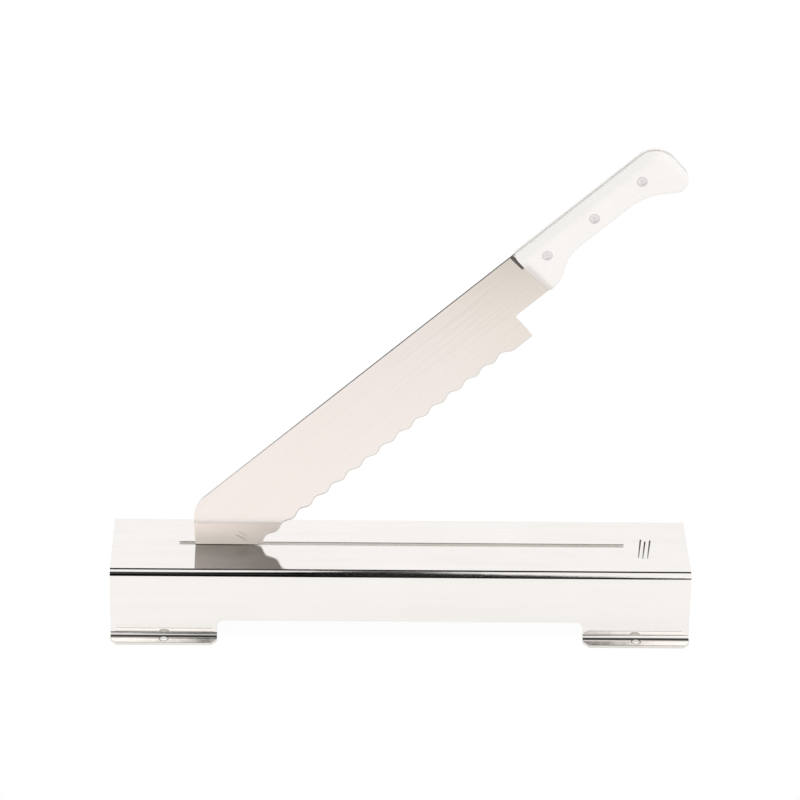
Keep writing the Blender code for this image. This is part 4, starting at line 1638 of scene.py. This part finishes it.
def make_tent():
    """A world that is white to the eye and even for soft light, while polished metal
    also sees the seam at the tent's back and the gaps over and behind the camera."""
    world = bpy.data.worlds.new("white_tent")
    bpy.context.scene.world = world
    world.use_nodes = True
    tree = world.node_tree
    background = tree.nodes["Background"]
    background.inputs["Color"].default_value = (1, 1, 1, 1)
    direction = node(tree, "ShaderNodeTexCoord")
    parts = node(tree, "ShaderNodeSeparateXYZ")
    tree.links.new(direction.outputs["Generated"], parts.inputs["Vector"])
    across, ahead, up = parts.outputs
    lean = maths(tree, "ARCTAN2", times(tree, ahead, -1), up)
    soft = plus(tree, times(tree, ramp(tree, up, -1, 1), SOFT_RISE), SOFT_STRENGTH)
    path = node(tree, "ShaderNodeLightPath")
    for_shine = node(tree, "ShaderNodeMix", data_type="FLOAT")
    tree.links.new(path.outputs["Is Glossy Ray"], for_shine.inputs[0])
    tree.links.new(soft, for_shine.inputs[2])
    tree.links.new(shine_of_tent(tree, lean, across), for_shine.inputs[3])
    for_eye = node(tree, "ShaderNodeMix", data_type="FLOAT")
    for_eye.inputs[3].default_value = 1
    tree.links.new(path.outputs["Is Camera Ray"], for_eye.inputs[0])
    tree.links.new(for_shine.outputs[0], for_eye.inputs[2])
    tree.links.new(for_eye.outputs[0], background.inputs["Strength"])


def glow_and_shadow(tree, glow, shadow):
    """White that glows by one share and takes shadows with the other."""
    glowing = node(tree, "ShaderNodeEmission")
    glowing.inputs["Strength"].default_value = glow
    shadowed = node(tree, "ShaderNodeBsdfDiffuse")
    shadowed.inputs["Color"].default_value = (shadow, shadow, shadow, 1)
    both = node(tree, "ShaderNodeAddShader")
    tree.links.new(glowing.outputs[0], both.inputs[0])
    tree.links.new(shadowed.outputs[0], both.inputs[1])
    return both.outputs[0]


def choose(tree, factor, first, second):
    mixed = node(tree, "ShaderNodeMixShader")
    tree.links.new(factor, mixed.inputs[0])
    tree.links.new(first, mixed.inputs[1])
    tree.links.new(second, mixed.inputs[2])
    return mixed.outputs[0]


def make_floor():
    """A plain white table that keeps a faint shadow. It ends in front of the object, where
    only the polished steel shows it."""
    bpy.ops.object.select_all(action="DESELECT")
    bpy.ops.mesh.primitive_plane_add(
        size=1, location=(0, (TABLE_REAR + TABLE_FRONT) / 2, -TABLE_DROP)
    )
    floor = fresh("floor", (TABLE_WIDTH, TABLE_REAR - TABLE_FRONT, 1))
    material, tree = new_material("white_table")
    tree.nodes.remove(tree.nodes["Principled BSDF"])
    plain = node(tree, "ShaderNodeBsdfDiffuse")
    plain.inputs["Color"].default_value = (TABLE_GREY, TABLE_GREY, TABLE_GREY, 1)
    path = node(tree, "ShaderNodeLightPath")
    in_shine = path.outputs["Is Glossy Ray"]
    seen = largest(tree, path.outputs["Is Camera Ray"], path.outputs["Is Transmission Ray"])
    for_shine = glow_and_shadow(tree, SHINE_GLOW, SHINE_SHADOW)
    for_eye = glow_and_shadow(tree, EYE_GLOW, EYE_SHADOW)
    surface = choose(tree, in_shine, plain.outputs[0], for_shine)
    surface = choose(tree, seen, surface, for_eye)
    tree.links.new(surface, tree.nodes["Material Output"].inputs["Surface"])
    paint(floor, material)


def make_camera():
    """The photograph's viewpoint: a long lens from the front, a little turned and rolled."""
    turn = radians(-1.253)
    height = radians(26.245)
    roll = radians(1.008)
    distance_away = 2.8108
    target = Vector((-0.001938, 0, 0.16461))
    facing = (
        Matrix.Rotation(turn, 4, "Z")
        @ Matrix.Rotation(radians(90) - height, 4, "X")
        @ Matrix.Rotation(roll, 4, "Z")
    )
    place_at = target + facing.to_3x3() @ Vector((0, 0, distance_away))
    bpy.ops.object.camera_add(location=place_at, rotation=facing.to_euler())
    camera = bpy.context.object
    camera.name = "camera"
    camera.data.lens = 185.04
    camera.data.sensor_width = 36
    camera.data.clip_start = 0.05
    camera.data.clip_end = 50
    bpy.context.scene.camera = camera


# The scene

bpy.context.scene.view_settings.view_transform = "Standard"
make_camera()
make_tent()
make_floor()

base_steel = brushed_steel(
    "polished_base_steel",
    (0.892, 0.862, 0.837),
    (0.864, 0.832, 0.804),
    (0.05, 0.075),
    LENGTHWISE_GRAIN,
    wave=0.1,
    lean=radians(1.5),
)
score_strokes(base_steel)
shade_feet_edges(base_steel)
shade_behind_slot(base_steel)
shade_front_bend(base_steel)
blade_steel = brushed_steel(
    "polished_blade_steel",
    (0.885, 0.815, 0.775),
    (0.875, 0.80, 0.76),
    (0.08, 0.11),
    LENGTHWISE_GRAIN,
    KNIFE_ANGLE,
    lean=radians(1),
)
rub_arcs(blade_steel)
shade_neck(blade_steel)
shade_and_dull_over_slot(blade_steel)
sawn_steel = brushed_steel(
    "sawn_sheet_edge", (0.86, 0.84, 0.79), (0.74, 0.72, 0.67), (0.35, 0.5), (1, 1, 0.1), relief=0.15
)
ground_steel = brushed_steel(
    "ground_blade_edge", (0.74, 0.72, 0.68), (0.68, 0.66, 0.62), (0.22, 0.32), relief=0.08
)
shade_blade_back(ground_steel)
satin_steel = brushed_steel(
    "satin_tang_edge", (0.95, 0.93, 0.90), (0.86, 0.84, 0.80), (0.45, 0.55), relief=0.05
)
lug_steel = brushed_steel(
    "dull_lug_steel", (0.6, 0.59, 0.57), (0.5, 0.49, 0.47), (0.3, 0.42), (1, 1, 0.05), relief=0.1
)
fastener_steel = brushed_steel(
    "zinc_fastener_steel",
    (0.68, 0.68, 0.66),
    (0.6, 0.6, 0.58),
    (0.22, 0.32),
    (1, 0.1, 1),
    relief=0.1,
)
rivet_metal = brushed_steel(
    "drawn_rivet_metal", (0.88, 0.84, 0.835), (0.81, 0.77, 0.765), (0.35, 0.45), relief=0.08
)
weld_steel = brushed_steel(
    "welded_steel", (0.42, 0.38, 0.34), (0.26, 0.25, 0.27), (0.3, 0.5), relief=0.3
)
plastic = white_plastic("white_handle_plastic", (0.925, 0.895, 0.872), (0.91, 0.878, 0.85))
shade_handle(plastic)
nylon = white_plastic("natural_nylon", (0.80, 0.78, 0.70), (0.77, 0.75, 0.66))

make_base(base_steel, sawn_steel)
make_blade(blade_steel, ground_steel, satin_steel)
for side_name, side in SIDES:
    make_scale(side_name, side, plastic)
for number, x in enumerate(RIVET_PLACES, start=1):
    rivet = f"rivet_{number}"
    make_rivet_half(
        f"{rivet}_back_half", 1, RIVET_STUD_RADIUS, x, rivet_metal, f"{rivet}_stud", hollow=False
    )
    make_rivet_half(
        f"{rivet}_front_half",
        -1,
        RIVET_SLEEVE_RADIUS,
        x,
        rivet_metal,
        f"{rivet}_sleeve",
        hollow=True,
    )
for side_name, side in SIDES:
    make_lug(side_name, side, lug_steel)
    make_weld(side_name, side, weld_steel)
    make_ring(
        f"nylon_spacer_{side_name}",
        SPACER_DIAMETER,
        SPACER_Y,
        SPACER_THICKNESS,
        side,
        nylon,
        "spacer_nylon",
        f"spacer_{side_name}",
    )
    make_ring(
        f"steel_washer_{side_name}",
        WASHER_DIAMETER,
        WASHER_Y,
        WASHER_THICKNESS,
        side,
        fastener_steel,
        "fastener_steel",
        f"washer_{side_name}",
    )
make_bolt(fastener_steel)
make_nut(fastener_steel)
